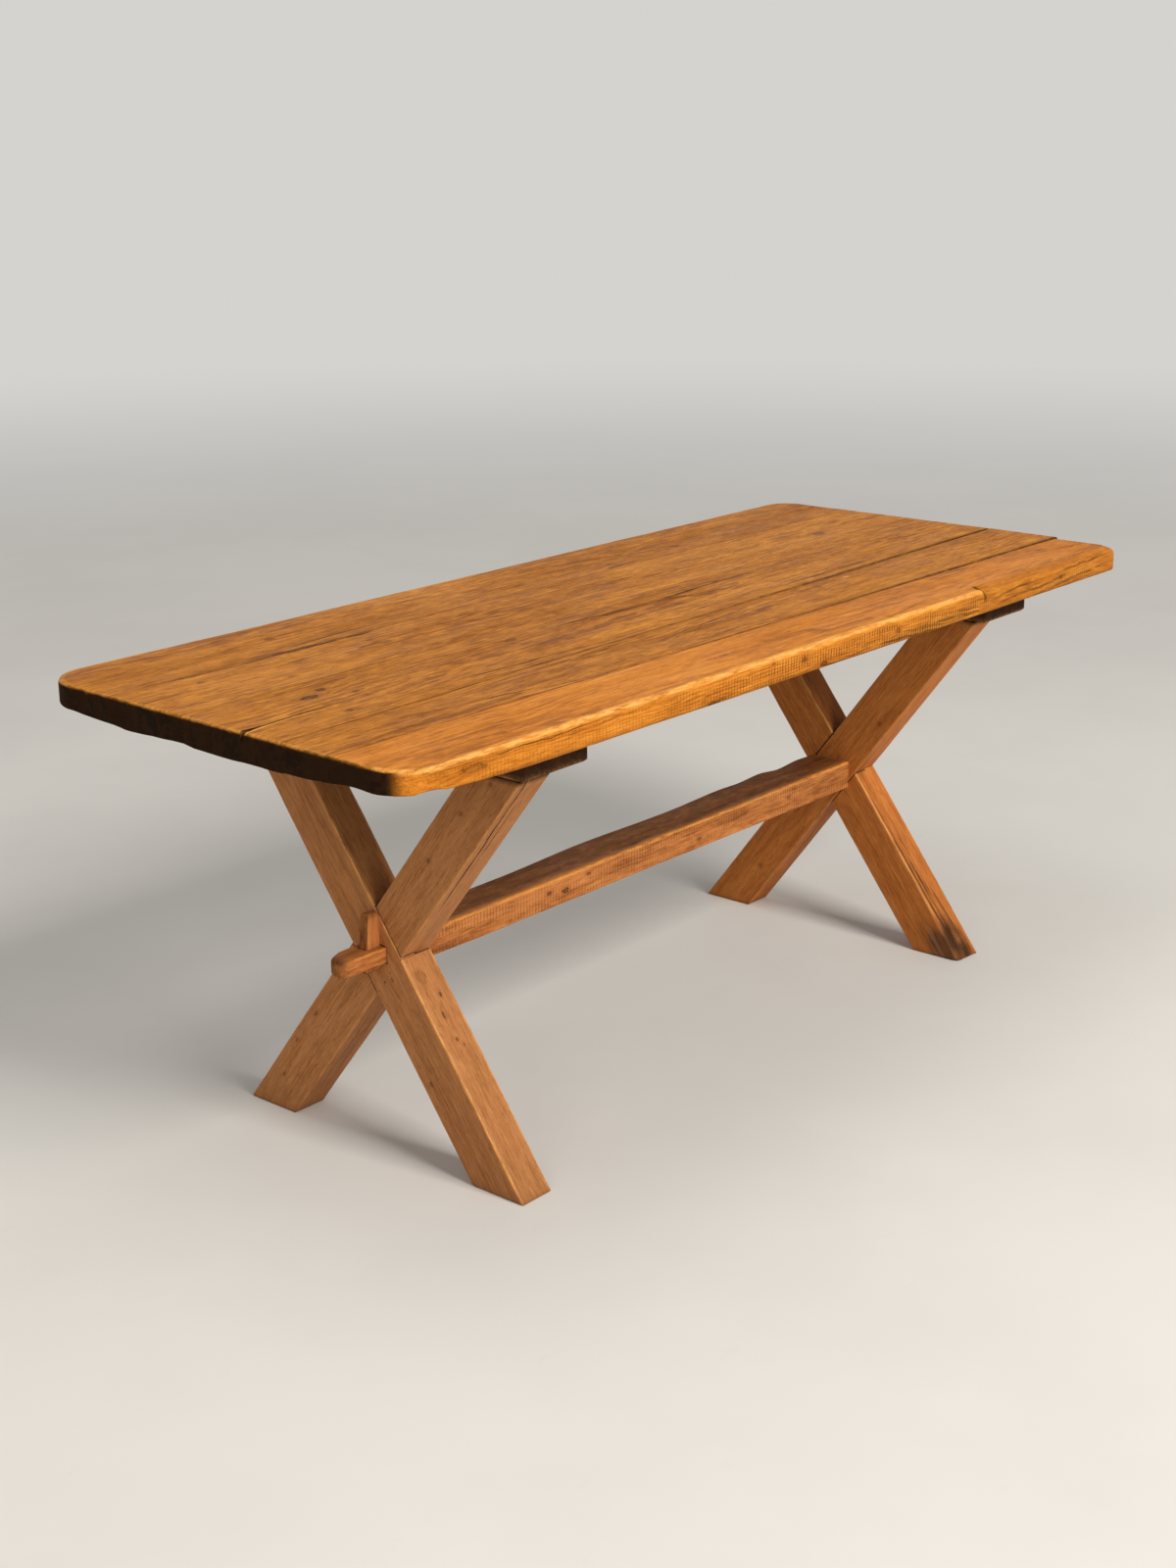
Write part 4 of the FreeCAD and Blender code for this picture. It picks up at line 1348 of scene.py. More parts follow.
        # The end faces take the near-black raw colour: dark end grain with painted shade.
        from_end = self._end(y) - np.abs(x)
        end_face = (1.0 - smooth_step(from_end, 2 * MM, 5 * MM)) * smooth_step(under_top, 2.5 * MM, 5 * MM)
        corner = self._corner(number, x)
        from_side = self.half_width - self._outward(number) * y
        into = clamped((corner - from_side) / np.maximum(corner, 1e-6))
        round_face = (inset < 2 * MM) * smooth_step(under_top, 2 * MM, 5 * MM)
        round_face = round_face * smooth_step(1.0 - into, 0.25, 0.62)
        end_face = np.maximum(end_face, round_face * (from_end < corner))
        wear_and_highlight *= 1.0 - end_face
        dirt_and_shade = np.maximum(dirt_and_shade, 0.15 * end_face)
        under = (1.0 - smooth_step(over_foot, 0.5 * MM, 3.5 * MM)) * smooth_step(inset, 2 * MM, 8 * MM)
        raw = np.maximum(end_face, under)
        sawn = np.zeros(len(points))
        if self._is_front(number):
            face = bell(y + self.half_width, 2 * MM)
            strength = 0.3 + 0.7 * smooth_step(x, -0.5, 0.05) - 0.7 * smooth_step(x, 0.4, 0.5)
            sawn = strength * face * smooth_step(under_top, 7 * MM, 12 * MM)
            blots = clamped(Unevenness(5).at(points, (7.0, 1.0, 60.0)) + 0.35)
            low_stain = 0.5 * blots * smooth_step(under_top, 10 * MM, 30 * MM) * smooth_step(x, -0.1, 0.2)
            past_step = x - self.wane_start
            waned = 0.26 * smooth_step(past_step, -2 * MM, 6 * MM) * (inset < 26 * MM)
            low_face = 0.2 * face * smooth_step(x, 0.0, 0.4) * smooth_step(under_top, 8 * MM, 14 * MM)
            waned = np.maximum(waned, low_face)
            crevice = bell(past_step - 2 * MM, 6 * MM) * (inset < 24 * MM)
            crevice *= 1.0 - smooth_step(under_top, 16 * MM, 30 * MM)
            dirt_and_shade = np.maximum.reduce([dirt_and_shade, face * low_stain, waned, crevice])
            wear_and_highlight *= 1.0 - smooth_step(past_step, -12 * MM, 0.0) * 0.7
        marks = marks.in_grain(partial(self._grain, number))
        surface = Surface(self._grain(number, points), wear_and_highlight, dirt_and_shade, raw, sawn, marks=marks)
        dress(piece, node, FRONT_FINISH if self._is_front(number) else TOP_FINISH, surface, 3 + number)


# ---- the trestles


@dataclass
class Trestle:
    """One trestle: two leg beams halved over each other, and the cleat over them."""

    side: Side
    arris: float = 2.6 * MM
    foot_arris: float = 2.2 * MM
    toe_wear: float = 0.0
    toe_reach: float = 60 * MM
    toe_height: float = 120 * MM
    grain_shift: float = 52 * MM
    lap_reach: float = 110 * MM
    spare: float = 9 * MM
    step: float = 9 * MM
    lap_gap: float = 0.8 * MM
    mortise_fit: float = 0.6 * MM
    mortise_play: float = 1.4 * MM
    stub_fit: float = 0.2 * MM
    screw_room: float = 3.1 * MM
    screw_sink: float = 2.9 * MM
    slot_turn: float = 24.0
    marks: dict[Lap, Marks] = field(default_factory=dict)

    def __post_init__(self) -> None:
        """Read the trestle's lines from the frame."""
        name = self.side.value
        self.cleat = f"{name}_cleat"
        self.screws = f"{name}_cleat_screws"
        self.beams = {lap: f"{name}_leg_{lap.value}" for lap in Lap}
        self.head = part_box(self.cleat)[0].z
        self.low_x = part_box(self.beams[Lap.OUTER])[0].x
        self.high_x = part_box(self.beams[Lap.OUTER])[1].x
        self.middle_x = 0.5 * (self.low_x + self.high_x)
        self.lines = {lap: self._band(lap) for lap in Lap}
        self.tenon = tenon_box(self.side)

    def _band(self, lap: Lap) -> tuple[float, float, float]:
        """A beam's middle at the floor, its slope across the table and its half width on the level.

        Args:
            lap: which beam.

        Returns:
            The three numbers.
        """
        points = node_points(self.beams[lap])
        foot = extent(points, points[:, 2] < 0.1 * MM)
        head = extent(points, np.abs(points[:, 2] - self.head) < 0.1 * MM)
        start = 0.5 * (foot[0][1] + foot[1][1])
        stop = 0.5 * (head[0][1] + head[1][1])
        return start, (stop - start) / self.head, 0.5 * (foot[1][1] - foot[0][1])

    def build(self) -> None:
        """Make and dress the beams, the cleat and its screws."""
        for lap in Lap:
            self._beam(lap)
        self._cleat()
        self._screws()

    def _beam(self, lap: Lap) -> None:
        """Make and dress one leg beam.

        Args:
            lap: which beam.
        """
        node = self.beams[lap]
        start, slope, half = self.lines[lap]
        flat = 1.0 / math.hypot(1.0, slope)
        low, high = (corner.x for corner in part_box(node))
        thick = high - low
        width = 2.0 * half * flat
        foot = [0.0, 0.7 * MM, 1.6 * MM, 3 * MM, 6 * MM]
        rise = [*foot, *np.arange(14 * MM, self.head - 2 * MM, self.step), self.head]
        grid = BlockGrid(
            arris_lines(thick, self.arris, self.arris, 7 * MM),
            arris_lines(width, self.arris, self.arris, 7 * MM) - 0.5 * width,
            rise,
        )
        x, v, z = grid.points.T
        rough = Unevenness(31 + 2 * (self.side is Side.RIGHT) + (lap is Lap.INNER))
        spot = np.stack([x, v, z], axis=1)
        waver = 0.75 + 0.3 * rough.at(spot, (1.0, 1.0, 6.0))
        radius = self.arris * (waver + 0.2 * rough.at(spot + 4.0, (1.0, 1.0, 33.0)))
        toe = self._toe(lap, x, v + 0.5 * width, z)
        radius = radius + toe
        inner_x = np.clip(x, radius, thick - radius)
        inner_v = np.clip(v, radius - 0.5 * width, 0.5 * width - radius)
        reach = np.maximum(np.hypot(x - inner_x, v - inner_v), 1e-9)
        x = inner_x + (x - inner_x) * radius / reach
        v = inner_v + (v - inner_v) * radius / reach
        near_foot = arc_drop(z, self.foot_arris)
        x += np.sign(0.5 * thick - x) * near_foot * (np.abs(x - 0.5 * thick) > 0.45 * thick)
        v -= np.sign(v) * near_foot * (np.abs(v) > 0.45 * width)
        x += 0.25 * MM * rough.at(spot + 8.0, (9.0, 9.0, 7.0)) * np.sign(0.5 * thick - x)
        v -= 0.3 * MM * (1.0 + rough.at(spot + 12.0, (9.0, 9.0, 5.0))) * np.sign(v)
        z = z + 0.3 * toe * falling(z, 30 * MM)
        points = np.stack([low + x, start + slope * z + v / flat, z], axis=1)
        piece = grid.to_object(node, points)
        piece.name = f"{node}_beam"
        self._joints(piece, lap)
        marks = self.marks.get(lap, Marks())
        marks.cut(piece)
        self._finish_beam(piece, lap, marks)

    def _toe(self, lap: Lap, x: Array, from_front: Array, z: Array) -> Array:
        """How much more the outer beam's front foot has lost at its left arris.

        Args:
            lap: which beam.
            x: distances from the beam's left face.
            from_front: distances from its front side.
            z: heights.

        Returns:
            How much rounder the arris is there.
        """
        if lap is not Lap.OUTER:
            return np.zeros(len(z))
        near = falling(np.hypot(x, from_front), self.toe_reach) ** 0.5
        uneven = 1.0 + 0.25 * Unevenness(47).line(z, 60.0)
        return self.toe_wear * uneven * near * (1.0 - smooth_step(z, 0.0, self.toe_height))

    def _joints(self, piece: Piece, lap: Lap) -> None:
        """Cut the half lap and the mortise, and add the stub tenon.

        Args:
            piece: the beam's mesh.
            lap: which beam.
        """
        other = Lap.INNER if lap is Lap.OUTER else Lap.OUTER
        start, slope, half = self.lines[other]
        own_start, own_slope, _ = self.lines[lap]
        crossing = (start - own_start) / (own_slope - slope)
        keep_low = (lap is Lap.OUTER) == (self.side is Side.LEFT)
        low, high = self.low_x - self.spare, self.high_x + self.spare
        low, high = (self.middle_x, high) if keep_low else (low, self.middle_x)
        band = []
        for rise, sign in ((-1, -1), (-1, 1), (1, 1), (1, -1)):
            z = crossing + rise * self.lap_reach
            band.append((start + slope * z + sign * (half + self.lap_gap), z))
        work(piece, prism("tool", [(low, y, z) for y, z in band], [(high, y, z) for y, z in band]))
        tenon_low, tenon_high = self.tenon
        room = Vector((0.0, self.mortise_fit, 0.0))
        bottom = Vector((self.low_x - self.spare, tenon_low.y, tenon_low.z)) - room
        top = Vector((self.high_x + self.spare, tenon_high.y, tenon_high.z + self.mortise_play)) + room
        work(piece, box_body(bottom, top))
        stub_low, stub_high = self._stub(lap)
        work(piece, box_body(stub_low - Vector((0, 0, 8 * MM)), stub_high), Operation.JOIN)

    def _stub(self, lap: Lap) -> tuple[Vector, Vector]:
        """The corners of a beam's stub tenon over its shoulder.

        Args:
            lap: which beam.

        Returns:
            Its lowest and highest corners.
        """
        points = node_points(self.beams[lap])
        low, high = extent(points, points[:, 2] > self.head + 0.5 * MM)
        return Vector((low[0], low[1], self.head)), Vector(high)

    def _grain(self, lap: Lap, points: Array) -> Array:
        """The place in the grain of points of a beam.

        Args:
            lap: which beam.
            points: one point to a row.

        Returns:
            One place to a row.
        """
        start, slope, _ = self.lines[lap]
        flat = 1.0 / math.hypot(1.0, slope)
        x, y, z = points.T
        across = (y - start - slope * z) * flat
        return np.stack([z / flat + across * slope, across, x - self.middle_x + self.grain_shift], axis=1)

    def _finish_beam(self, piece: Piece, lap: Lap, marks: Marks) -> None:
        """Store the surface values of a beam and dress it.

        Args:
            piece: the beam's mesh.
            lap: which beam.
            marks: what it shows of its own.
        """
        node = self.beams[lap]
        start, slope, half = self.lines[lap]
        flat = 1.0 / math.hypot(1.0, slope)
        width = 2.0 * half * flat
        low, high = (corner.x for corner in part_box(node))
        points = places_of(piece)
        x, y, z = points.T
        across = (y - start - slope * z) * flat
        side_gap = 0.5 * width - np.abs(across)
        face_gap = np.minimum(x - low, high - x)
        # The outer beam's front arrises get a wider, stronger pale band: rubbing, and a painted highlight
        # along the rounded arris.
        is_worn_and_highlighted = (lap is Lap.OUTER) & (across < 0.0)
        reach = np.where(is_worn_and_highlighted, 2.8 * MM, 2.2 * MM)
        from_arris = np.hypot(np.maximum(side_gap, 0.0), np.maximum(face_gap, 0.0))
        wear_and_highlight = bell(from_arris - 0.8 * MM, reach)
        wear_and_highlight *= np.where(is_worn_and_highlighted, 1.0, 0.5)
        dirt_and_shade = 0.4 * bell(z, 5 * MM) + 0.12 * bell(z, 60 * MM)
        other_start, other_slope, other_half = self.lines[Lap.INNER if lap is Lap.OUTER else Lap.OUTER]
        shoulder = np.abs(np.abs(y - other_start - other_slope * z) - other_half - self.lap_gap)
        tenon_low, tenon_high = self.tenon
        # A dark line round the tenon on the outer face: painted shade of the gap in the mortise.
        outer_face = self.low_x if self.side is Side.LEFT else self.high_x
        beside = np.maximum(tenon_low.y - y, y - tenon_high.y)
        above = np.maximum(tenon_low.z - z, z - tenon_high.z - self.mortise_play)
        mortise = np.where(np.abs(x - outer_face) < 4 * MM, np.abs(np.maximum(beside, above)), JOINT_REACH)
        joint_gap = np.minimum(shoulder, mortise)
        inside = (x > low + 3 * MM) & (x < high - 3 * MM)
        raw = bell(shoulder, 0.8 * MM) * inside * 0.8
        raw = np.maximum(raw, smooth_step(z, self.head - 2 * MM, self.head))
        raw = np.maximum(raw, 1.0 - smooth_step(z, 0.1 * MM, 0.9 * MM))
        toe = self._toe(lap, x - low, across + 0.5 * width, z) / max(self.toe_wear, 1 * MM)
        patches = clamped(0.5 * Unevenness(45).at(points, (60.0, 60.0, 30.0)) + 0.8)
        on_front = smooth_step(x - low, 0.0, 6 * MM) * smooth_step(0.5 * width + across, 12 * MM, 2 * MM)
        dirt_and_shade = np.maximum(dirt_and_shade, 0.8 * patches * smooth_step(toe, 0.04, 0.45) * on_front)
        raw = np.maximum(raw, 0.85 * patches * smooth_step(toe, 0.22, 0.65))
        wear_and_highlight = wear_and_highlight * (1.0 - smooth_step(toe, 0.1, 0.5))
        marks = marks.in_grain(partial(self._grain, lap))
        surface = Surface(self._grain(lap, points), wear_and_highlight, dirt_and_shade, raw, joint_gap=joint_gap, marks=marks)
        seed = 21 + 2 * (self.side is Side.RIGHT) + (lap is Lap.INNER)
        dress(piece, node, LEG_FINISH if self.side is Side.LEFT else FAR_LEG_FINISH, surface, seed)

    def screw_centres(self) -> list[tuple[float, float]]:
        """The places of the cleat's screws in plan.

        Returns:
            The places, from front to back.
        """
        points = node_points(self.screws)
        heads = points[points[:, 2] < points[:, 2].min() + 0.5 * MM]
        heads = heads[np.argsort(heads[:, 1])]
        groups = np.split(heads, np.flatnonzero(np.diff(heads[:, 1]) > 20 * MM) + 1)
        return [tuple(0.5 * (group.min(axis=0) + group.max(axis=0))[:2]) for group in groups]

    def _cleat(self) -> None:
        """Make and dress the cleat."""
        low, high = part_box(self.cleat)
        size = high - low
        bevel = 4 * MM
        grid = BlockGrid(
            arris_lines(size.x, bevel, bevel, 14 * MM),
            arris_lines(size.y, bevel, bevel, 14 * MM),
            np.array([0.0, 0.06, 0.15, 0.5, 1.0]),
        )
        x, y, share = grid.points.T
        plan = np.stack([x, y, np.zeros(len(x))], axis=1)
        rough = Unevenness(51 + (self.side is Side.RIGHT))
        inset = np.minimum(np.minimum(x, size.x - x), np.minimum(y, size.y - y))
        bevel_here = bevel * (0.9 + 0.2 * rough.at(plan, (12.0, 12.0, 1.0)))
        lower = np.clip(bevel_here - inset, 0.0, None) + 0.2 * MM * (1.0 + rough.at(plan, (20.0, 14.0, 1.0)))
        z = lower + (size.z - lower) * share
        piece = grid.to_object(f"{self.cleat}_batten", np.stack([low.x + x, low.y + y, low.z + z], axis=1))
        for lap in Lap:
            stub_low, stub_high = self._stub(lap)
            room = Vector((self.stub_fit,) * 3)
            work(piece, box_body(stub_low - room - Vector((0, 0, self.spare)), stub_high + room))
        spare = 3 * MM
        hole = [
            (0.0, low.z - spare),
            (self.screw_room + self.screw_sink + spare, low.z - spare),
            (self.screw_room, low.z + self.screw_sink),
            (self.screw_room, high.z + spare),
            (0.0, high.z + spare),
        ]
        for centre in self.screw_centres():
            work(piece, lathe(centre, hole))
        points = places_of(piece)
        x, y, z = points.T
        gaps = np.stack([x - low.x, high.x - x, y - low.y, high.y - y])
        near_side = np.maximum(gaps.min(axis=0), 0.0)
        over_foot = z - low.z
        # Pale line along the lower bevel: a painted highlight.
        wear_and_highlight = 0.95 * bell(near_side + over_foot - bevel, 2.2 * MM) * (near_side < 1.2 * bevel)
        grain = np.stack([y, x - low.x - 0.5 * size.x, over_foot + 70 * MM], axis=1)
        # The ends are darker: end grain, and painted shade under the top.
        ends = bell(gaps[2:].min(axis=0), 2 * MM)
        surface = Surface(grain, wear_and_highlight, 0.5 * ends, 0.35 * (1.0 - smooth_step(over_foot, 0, 3 * MM)))
        dress(piece, self.cleat, CLEAT_FINISH, surface, 41 + (self.side is Side.RIGHT))

    def _screws(self) -> None:
        """Make the cleat's screws, with slotted heads sunk in their holes."""
        steel = SteelFinish()
        low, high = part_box(self.screws)
        profile = [
            (0.0, low.z + 0.15 * MM), (3.0 * MM, low.z + 0.2 * MM), (5.4 * MM, low.z + 0.35 * MM),
            (5.75 * MM, low.z + 0.6 * MM), (3.05 * MM, low.z + 3.2 * MM), (2.9 * MM, low.z + 9 * MM),
            (2.9 * MM, high.z - 7 * MM), (1.4 * MM, high.z - 2.5 * MM), (0.0, high.z),
        ]
        points, faces = [], []
        for centre in self.screw_centres():
            body = lathe(centre, profile)
            angle = self.slot_turn * centre[1]
            slot = box_body((-7 * MM, -0.7 * MM, low.z - 2 * MM), (7 * MM, 0.7 * MM, low.z + 1.5 * MM))
            slot.data.transform(Matrix.Translation((*centre, 0.0)) @ Matrix.Rotation(angle, 4, "Z"))
            work(body, slot)
            faces += [[vertex + len(points) for vertex in polygon.vertices] for polygon in body.data.polygons]
            points += places_of(body).tolist()
            bpy.data.objects.remove(body)
        piece = new_object(f"{self.screws}_turned", points, faces)
        put_in_place(piece, self.screws, TABLE, steel.material(piece.name))


def lathe(centre: Sequence[float], profile: Sequence[tuple[float, float]]) -> Piece:
    """A turned body round an upright axis.

    Args:
        centre: the axis in plan.
        profile: radius and height of each ring, from a point to a point.

    Returns:
        The body.
    """
    sides = 24
    points = [(centre[0], centre[1], profile[0][1])]
    for radius, height in profile[1:-1]:
        for step in range(sides):
            turn = 2.0 * math.pi * step / sides
            points.append((centre[0] + radius * math.cos(turn), centre[1] + radius * math.sin(turn), height))
    points.append((centre[0], centre[1], profile[-1][1]))
    last = len(points) - 1
    rings = len(profile) - 2
    faces = [[0, 1 + (step + 1) % sides, 1 + step] for step in range(sides)]
    for ring in range(rings - 1):
        base = 1 + ring * sides
        for step in range(sides):
            after = (step + 1) % sides
            faces.append([base + step, base + after, base + sides + after, base + sides + step])
    base = 1 + (rings - 1) * sides
    faces += [[base + step, base + (step + 1) % sides, last] for step in range(sides)]
    return new_object("turned", points, faces)


# ---- the stretcher and its keys


def tenon_box(side: Side) -> tuple[Vector, Vector]:
    """The corners of the stretcher's tenon outside a trestle.

    Args:
        side: the trestle's end of the table.

    Returns:
        Its lowest and highest corners.
    """
    points = node_points("stretcher")
    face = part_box(f"{side.value}_leg_outer")[0 if side is Side.LEFT else 1].x
    low, high = extent(points, (points[:, 0] - face) * side.outward > -1 * MM)
    return Vector(low), Vector(high)


@dataclass
class Stretcher:
    """The plank between the trestles, with a keyed through tenon at each end."""

    node: str = "stretcher"
    arris: float = 2.2 * MM
    nose_front: float = 13 * MM
    nose_back: float = 27 * MM
    nose_upper: float = 7 * MM
    nose_lower: float = 3 * MM
    slot_recess: float = 4 * MM
    heart_height: float = 300 * MM
    heart_depth: float = 50 * MM
    key_fit: float = 0.08 * MM
    back_line: tuple[tuple[float, float], ...] = (
        (-0.60, -0.001), (-0.31, -0.003), (-0.10, 0.005), (0.13, -0.002), (0.29, 0.004),
        (0.34, 0.001), (0.415, 0.006), (0.46, -0.004), (0.54, 0.003), (0.60, 0.001),
    )
    marks: Marks = Marks()

    def build(self) -> None:
        """Make and dress the stretcher."""
        points = node_points(self.node)
        self.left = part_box("left_leg_outer")[1].x
        self.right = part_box("right_leg_outer")[0].x
        places = (self.left, self.right)
        ends = [extent(points, np.abs(points[:, 0] - place) < 0.2 * MM) for place in places]
        piece = self._plank(ends)
        for side in Side:
            work(piece, self._tenon(side), Operation.JOIN)
            work(piece, self._key_slot(side))
        self._finish(piece, ends)

    def _plank(self, ends: list[tuple[Array, Array]]) -> Piece:
        """The plank between the shoulders, its back left as the log bent it.

        Args:
            ends: the lowest and highest corners of its two ends.

        Returns:
            The plank.
        """
        low, high = np.minimum(ends[0][0], ends[1][0]), np.maximum(ends[0][1], ends[1][1])
        self.front = low[1]
        length = self.right - self.left
        width = high[1] - low[1]
        grid = BlockGrid(
            arris_lines(length, 1 * MM, 1 * MM, 9 * MM) + self.left,
            arris_lines(width, self.arris, self.arris, 10 * MM),
            arris_lines(1.0, 0.05, 0.05, 0.2),
        )
        x, across, share = grid.points.T
        share_x = (x - self.left) / length
        rough = Unevenness(61)
        place = np.stack([x, across, np.zeros(len(x))], axis=1)
        swell = self._swell(x) * smooth_step(length * np.minimum(share_x, 1.0 - share_x), 0.0, 60 * MM)
        y = across + swell * smooth_step(across, 0.3 * width, width)
        worn = 3.2 * MM * (1.0 + 0.35 * rough.line(x + 2.0, 11.0))
        arris = np.where(across < 0.5 * width, worn, self.arris)
        inset = np.minimum(across, width - across)
        top = ends[0][1][2] + (ends[1][1][2] - ends[0][1][2]) * share_x
        bottom = ends[0][0][2] + (ends[1][0][2] - ends[0][0][2]) * share_x
        top = top - arc_drop(inset, arris) - 0.3 * MM * (1.0 + rough.at(place, (6.0, 30.0, 1.0)))
        bottom = bottom + arc_drop(inset, self.arris)
        bottom = bottom + 0.6 * MM * (1.0 + rough.at(place + 5.0, (9.0, 20.0, 1.0)))
        z = bottom + (top - bottom) * share
        y = y + 0.4 * MM * rough.at(np.stack([x, across, z], axis=1), (8.0, 20.0, 30.0)) * (inset < 6 * MM)
        return grid.to_object(self.node + "_plank", np.stack([x, self.front + y, z], axis=1))

    def _swell(self, x: Array) -> Array:
        """How far the stretcher's back edge bellies out, where it follows the log.

        Args:
            x: places along the table.

        Returns:
            The distances.
        """
        places = [place for place, _ in self.back_line]
        stop = np.clip(np.searchsorted(places, x), 1, len(places) - 1)
        before, after = np.array(self.back_line)[stop - 1], np.array(self.back_line)[stop]
        share = smooth_step((x - before[:, 0]) / (after[:, 0] - before[:, 0]), 0.0, 1.0)
        return before[:, 1] + (after[:, 1] - before[:, 1]) * share

    def _tenon(self, side: Side) -> Piece:
        """One through tenon with its rounded nose.

        Args:
            side: the end of the table.

        Returns:
            The tenon.
        """
        low, high = tenon_box(side)
        tip = low.x if side is Side.LEFT else high.x
        root = (self.left if side is Side.LEFT else self.right) - side.outward * 20 * MM
        length = abs(tip - root)
        width = high.y - low.y
        lines = arris_lines(length, 1 * MM, self.nose_upper, 5 * MM)
        grid = BlockGrid(lines, arris_lines(width, 3 * MM, 3 * MM, 4 * MM), np.linspace(0.0, 1.0, 6))
        along, across, share = grid.points.T
        from_tip = length - along
        inset = from_tip.copy()
        new_along, new_across = along.copy(), across.copy()
        noses = ((self.nose_front, across, False), (self.nose_back, width - across, True))
        for corner, from_side, is_back in noses:
            moves, outward, aside, from_arc = round_corner(from_tip, from_side, corner)
            new_along = np.where(moves, length - corner + outward, new_along)
            moved = width - corner + aside if is_back else corner - aside
            new_across = np.where(moves, moved, new_across)
            near_tip = np.where(from_tip < corner, np.minimum(inset, from_side), inset)
            inset = np.where(moves, from_arc, near_tip)
        fade = 1.0 - smooth_step(from_tip, 20 * MM, 34 * MM)
        side_inset = np.minimum(across, width - across)
        full = np.minimum(inset, side_inset)
        upper_radius = 1.2 * MM + (self.nose_upper - 1.2 * MM) * fade
        lower_radius = 1.0 * MM + (self.nose_lower - 1.0 * MM) * fade
        top = high.z - arc_drop(full, upper_radius)
        bottom = low.z + arc_drop(full, lower_radius)
        z = bottom + (top - bottom) * share
        x = root + side.outward * new_along
        y = low.y + new_across
        piece = grid.to_object("tenon", np.stack([x, y, z], axis=1))
        if side is Side.LEFT:
            piece.data.flip_normals()
        return piece

    def _grain(self, points: Array) -> Array:
        """The place in the grain of points of the stretcher."""
        x, y, z = points.T
        return np.stack([x, z - self.heart_height, y - self.front + self.heart_depth], axis=1)

    def _key_slot(self, side: Side) -> Piece:
        """The body that cuts a key's slot, with the key's own taper."""
        return key_wedge(side, self.key_fit, -self.slot_recess, 30 * MM)

    def _finish(self, piece: Piece, ends: list[tuple[Array, Array]]) -> None:
        """Store the surface values of the stretcher and dress it.

        Args:
            piece: the stretcher's mesh.
            ends: the lowest and highest corners of its two ends.
        """
        points = places_of(piece)
        x, y, z = points.T
        share = clamped((x - self.left) / (self.right - self.left))
        top = ends[0][1][2] + (ends[1][1][2] - ends[0][1][2]) * share
        bottom = ends[0][0][2] + (ends[1][0][2] - ends[0][0][2]) * share
        on_plank = (x > self.left + 1 * MM) & (x < self.right - 1 * MM)
        arris = np.hypot(np.maximum(y - self.front - 1 * MM, 0.0), np.maximum(top - z - 1 * MM, 0.0))
        wear_and_highlight = (1.0 - smooth_step(arris, 2.0 * MM, 5.0 * MM)) * on_plank
        # Darker upper face, back from the front arris: dust, and painted shade of the tabletop above.
        dirt_and_shade = 0.6 * (1.0 - smooth_step(top - z, 0.6 * MM, 2.0 * MM)) * on_plank
        dirt_and_shade *= smooth_step(y - self.front, 5 * MM, 11 * MM)
        joint_gap = np.full(len(points), JOINT_REACH)
        for side in Side:
            low, high = tenon_box(side)
            from_face = (x - (self.left if side is Side.LEFT else self.right)) * side.outward
            tip = low.x if side is Side.LEFT else high.x
            from_tip = np.abs(x - tip)
            nose = (from_face > 0) * bell(from_tip, 13 * MM)
            upper = smooth_step(z, high.z - 9 * MM, high.z - 1 * MM)
            dirt_and_shade = np.maximum(dirt_and_shade, (0.45 + 0.35 * upper) * nose)
            # Pale rim along the tenon's upper edges: rubbing, and a painted highlight of the rounded arris.
            edge = np.minimum(y - low.y, high.y - y)
            rim = np.hypot(np.maximum(edge, 0.0), np.maximum(high.z - z, 0.0))
            wear_and_highlight = np.maximum(wear_and_highlight, 0.8 * (from_face > 0) * bell(rim, 3 * MM))
            key_low, key_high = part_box(f"{side.value}_key")
            past_key = np.maximum(key_low.x - x, x - key_high.x)
            past_key += (key_high.x - key_low.x - KeyShape(side).width_at(high.z)) * (from_face > 0)
            beside_key = np.maximum(key_low.y - y, y - key_high.y)
            slot_gap = np.where(z > high.z - 8 * MM, np.abs(np.maximum(past_key, beside_key)), JOINT_REACH)
            joint_gap = np.minimum(joint_gap, slot_gap)
        raw = (1.0 - smooth_step(z - bottom, 0.2 * MM, 2.0 * MM)) * on_plank * 0.8
        sawn = 0.5 * bell(y - self.front, 2 * MM) * on_plank
        marks = self.marks.in_grain(self._grain)
        surface = Surface(self._grain(points), wear_and_highlight, dirt_and_shade, raw, sawn, joint_gap, marks)
        dress(piece, self.node, STRETCHER_FINISH, surface, 33)


def key_wedge(side: Side, room: float, inner: float, spare: float) -> Piece:
    """The tapered body of a key.

    Args:
        side: the end of the table.
        room: how far its faces stand out from the key's own.
        inner: place of its straight face, outwards from the trestle.
        spare: how far it reaches past the key's ends.

    Returns:
        The body.
    """
    key = KeyShape(side)
    plan = []
    for height in (key.low.z - spare, key.high.z + spare):
        outer = key.width_at(height) + room
        plan.append([(key.face + side.outward * inner, height), (key.face + side.outward * outer, height)])
    (a, b), (d, c) = plan
    outline = [a, b, c, d]
    front, back = key.low.y - room, key.high.y + room
    body = prism("tool", [(x, back, z) for x, z in outline], [(x, front, z) for x, z in outline])
    if side is Side.LEFT:
        body.data.flip_normals()
    return body


